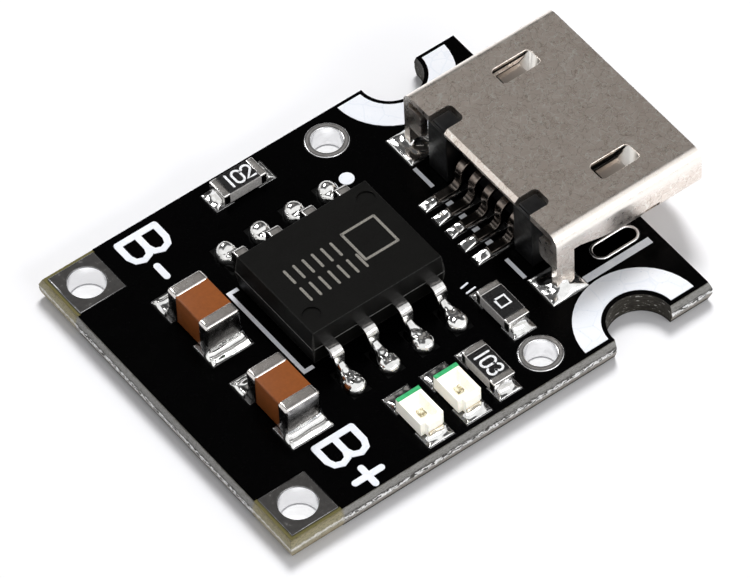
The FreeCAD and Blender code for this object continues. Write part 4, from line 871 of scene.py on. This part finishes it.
def rolled_rim(side):
    """A thin rounded lip along a window: a circle swept round a rectangle with round corners."""
    corner, lip = 0.18, 0.03
    angle, sign_x, sign_y = four_corners(7)
    centre_x, centre_y = (sum(window) / 2 + sign * ((window[1] - window[0]) / 2 - corner)
                          for window, sign in ((window_x, sign_x), (window_y, sign_y)))
    round_tube = np.linspace(0, 2 * np.pi, 10, endpoint=False)
    away = corner + lip * np.cos(round_tube)[None, :]
    x = centre_x[:, None] + away * np.cos(angle)[:, None]
    y = centre_y[:, None] + away * np.sin(angle)[:, None]
    z = np.broadcast_to(shell_top - lip + lip * np.sin(round_tube), x.shape)
    return (np.stack([x, side * y, z], -1), True, True)


lay_skin("window_rims", [rolled_rim(-1), rolled_rim(1)], nickel, 60)

nylon, place = new_finish("black_nylon", (0.003, 0.003, 0.0034), 0.32, Specular_IOR_Level=0.35)
shade("Roughness", grain(place, 5, 3), (0.3, 0.28), (0.7, 0.5))
bump(grain(place, 18, 3), 4)
rounded_copy("usb_insulator", "nylon_block", nylon, 0.025)

contact, place = new_finish("contact_metal", (0.34, 0.29, 0.25), 0.2, 1.0)
sprung = ramp(grain(place, 6, 3), (0.3, (0.13, 0.10, 0.085)), (0.7, (0.30, 0.26, 0.23)))
# Painted dark reflection: the contacts' low feet are painted near black.
painted_dark_feet = ramp(fade(axis_of(place, "Z"), 0.8, 1.3), (0.45, 0.85), (0.60, 0.0))
wire(blend_colours(painted_dark_feet, sprung, (0.05, 0.045, 0.04, 1)), "Base Color")
for number in range(1, 6):
    rounded_copy(f"usb_contact_{number}", f"contact_{number}", contact, 0.02)

beads = []
for number in range(5):
    y = 0.65 * (number - 2)
    beads += solder_pool(1.965, 3.30, y - 0.19, y + 0.19, [(2.44, y, 0.12, 0.2, 0.3), (2.2, y, 0.04, 0.12, 0.2)],
                         number + 30, 0.035)
for side in (-1, 1):
    beads += solder_pool(2.745, 4.075, *sorted((2.86 * side, 4.14 * side)),
                         [(3.42, 3.66 * side, 0.40, 0.20, 0.16), (3.62, 3.92 * side, 0.12, 0.40, 0.22)], side + 50,
                         0.055)
piece = lay_skin("socket_solder_beads", beads, solder, 80)
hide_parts("usb_solder")


# The photograph's stage: a white sheet under soft light, with the module seen from above its battery end.
# The sheet keeps a soft shadow round the board, and white dots on it glow, a painted light, and show through the four
# wire holes where the sheet lies in shade.

floor_mesh = bpy.data.meshes.new("white_sheet")
reach = 0.6
floor_mesh.from_pydata([(-reach, -reach, 0), (reach, -reach, 0), (reach, reach, 0), (-reach, reach, 0)], [],
                       [(0, 1, 2, 3)])
floor = put_in_scene("white_sheet", floor_mesh)
floor.location.z = -0.00002
sheet_white = bpy.data.materials.new("sheet_white")
sheet_white.use_nodes = True
sheet_white.node_tree.nodes.clear()
seen = add_node("LightPath", owner=sheet_white).outputs
shown = reckon("MAXIMUM", reckon("MAXIMUM", seen["Is Camera Ray"], seen["Is Glossy Ray"]), seen["Is Transmission Ray"])
strength = reckon("ADD", reckon("MULTIPLY", seen["Is Glossy Ray"], 0.05), 0.04)
glow = add_node("Emission", Strength=reckon("MULTIPLY", strength, shown))
paper = add_node("BsdfDiffuse", owner=sheet_white, Color=(0.80, 0.80, 0.815, 1))
total = add_node("AddShader", owner=sheet_white)
surface = add_node("OutputMaterial", owner=sheet_white)
for output, socket in ((paper.outputs[0], total.inputs[0]), (glow.outputs[0], total.inputs[1]),
                       (total.outputs[0], surface.inputs["Surface"])):
    sheet_white.node_tree.links.new(output, socket)
floor_mesh.materials.append(sheet_white)

# Painted light: the dots under the holes glow, since the sheet under the board lies in shade.
painted_light_dots = new_finish("painted_light_dots", (0.8, 0.8, 0.81), 0.5, Emission_Color=(1, 1, 1, 1), Emission_Strength=0.58)[0]
turn = np.linspace(0, 2 * np.pi, 24, endpoint=False)
centres = np.array([(-7.615, 5.30), (-7.615, -5.30), (eyelet_x, eyelet_y), (eyelet_x, -eyelet_y)])
radii = np.array([0.575, 0.575, 0.475, 0.475])
rims = centres[:, None] + radii[:, None, None] * np.stack([np.cos(turn), np.sin(turn)], -1)[None]
dots_mesh = bpy.data.meshes.new("white_dots")
flat_points = np.concatenate([rims.reshape(-1, 2) / 1000, np.full((rims.size // 2, 1), -0.00001)], -1)
dots_mesh.from_pydata(flat_points.tolist(), [], np.arange(rims.size // 2).reshape(4, -1).tolist())
dots_mesh.materials.append(painted_light_dots)
dots = put_in_scene("white_dots", dots_mesh)

world = bpy.data.worlds.new("studio")
bpy.context.scene.world = world
world.use_nodes = True
direction = add_node("TexCoord", owner=world).outputs["Generated"]


def paint_sky(level, aim, fade_from, fade_to, tint):
    """The sky's level with a soft patch in it: full where the cosine to the aim passes the second value."""
    length = math.sqrt(sum(part * part for part in aim))
    unit = [part / length for part in aim]
    cosine = add_node("VectorMath", {"operation": "DOT_PRODUCT"}, unit, Vector=direction).outputs["Value"]
    return blend_colours(fade(cosine, fade_from, fade_to, "SMOOTHSTEP"), level, (*tint, 1))


level = (0.10, 0.10, 0.102, 1)
for aim, fade_from, fade_to, tint in (
        ((0.36, 0.75, 0.55), 0.955, 0.985, (0.06, 0.06, 0.06)), ((0.64, 0.50, 0.58), 0.955, 0.985, (0.06, 0.06, 0.06)),
        ((-0.08, 0.52, 0.85), 0.955, 0.985, (0.08, 0.08, 0.08)),
        ((0.36, 0.52, 0.775), 0.962, 0.988, (0.275, 0.263, 0.252)), ((0, -1, 0), -0.12, 0.02, (1.0, 1.0, 1.0)),
        ((-1, 0, 0), 0.52, 0.68, (1.0, 1.0, 1.0)), ((0, 0, -1), -0.30, -0.20, (0.8, 0.79, 0.775))):
    level = paint_sky(level, aim, fade_from, fade_to, tint)
mirrored_ray = add_node("LightPath", owner=world).outputs["Is Glossy Ray"]
sky = blend_colours(mirrored_ray, (0.36, 0.36, 0.367, 1), level)
world.node_tree.links.new(sky, world.node_tree.nodes["Background"].inputs["Color"])


def soft_lamp(name, place, aim, width, height, watts, mirrored=True, spread=True):
    """A flat rectangular lamp at a place in metres, turned to face an aim; it may be left out of the reflections
    or out of the spread light."""
    data = bpy.data.lights.new(name, "AREA")
    data.shape = "RECTANGLE"
    data.size, data.size_y = width, height
    data.energy = watts
    lamp = put_in_scene(name, data)
    lamp.visible_glossy = mirrored
    lamp.visible_diffuse = spread
    lamp.location = place
    toward = Vector(aim) - Vector(place)
    lamp.rotation_euler = toward.to_track_quat("-Z", "Y").to_euler()


soft_lamp("key_slanting", (0.15, 0.16, 0.32), (0, 0, 0), 0.12, 0.12, 1.4, False)
soft_lamp("sheen_behind", (-0.05, 0.29, 0.29), (0, 0, 0), 0.14, 0.14, 0.55, True, False)
soft_lamp("front_strip", (0.06, -0.30, 0.17), (0, 0, 0), 0.30, 0.08, 0.40)

camera_data = bpy.data.cameras.new("camera")
camera_data.sensor_width = 36
camera_data.lens = 336.0
camera_data.clip_start = 0.01
camera_data.clip_end = 5
camera = put_in_scene("camera", camera_data)
camera.location = (-0.07631, -0.10869, 0.16282)
camera.rotation_euler = [math.radians(angle) for angle in (39.134, 1.848, -37.052)]
bpy.context.scene.camera = camera
bpy.context.scene.view_settings.view_transform = "Standard"
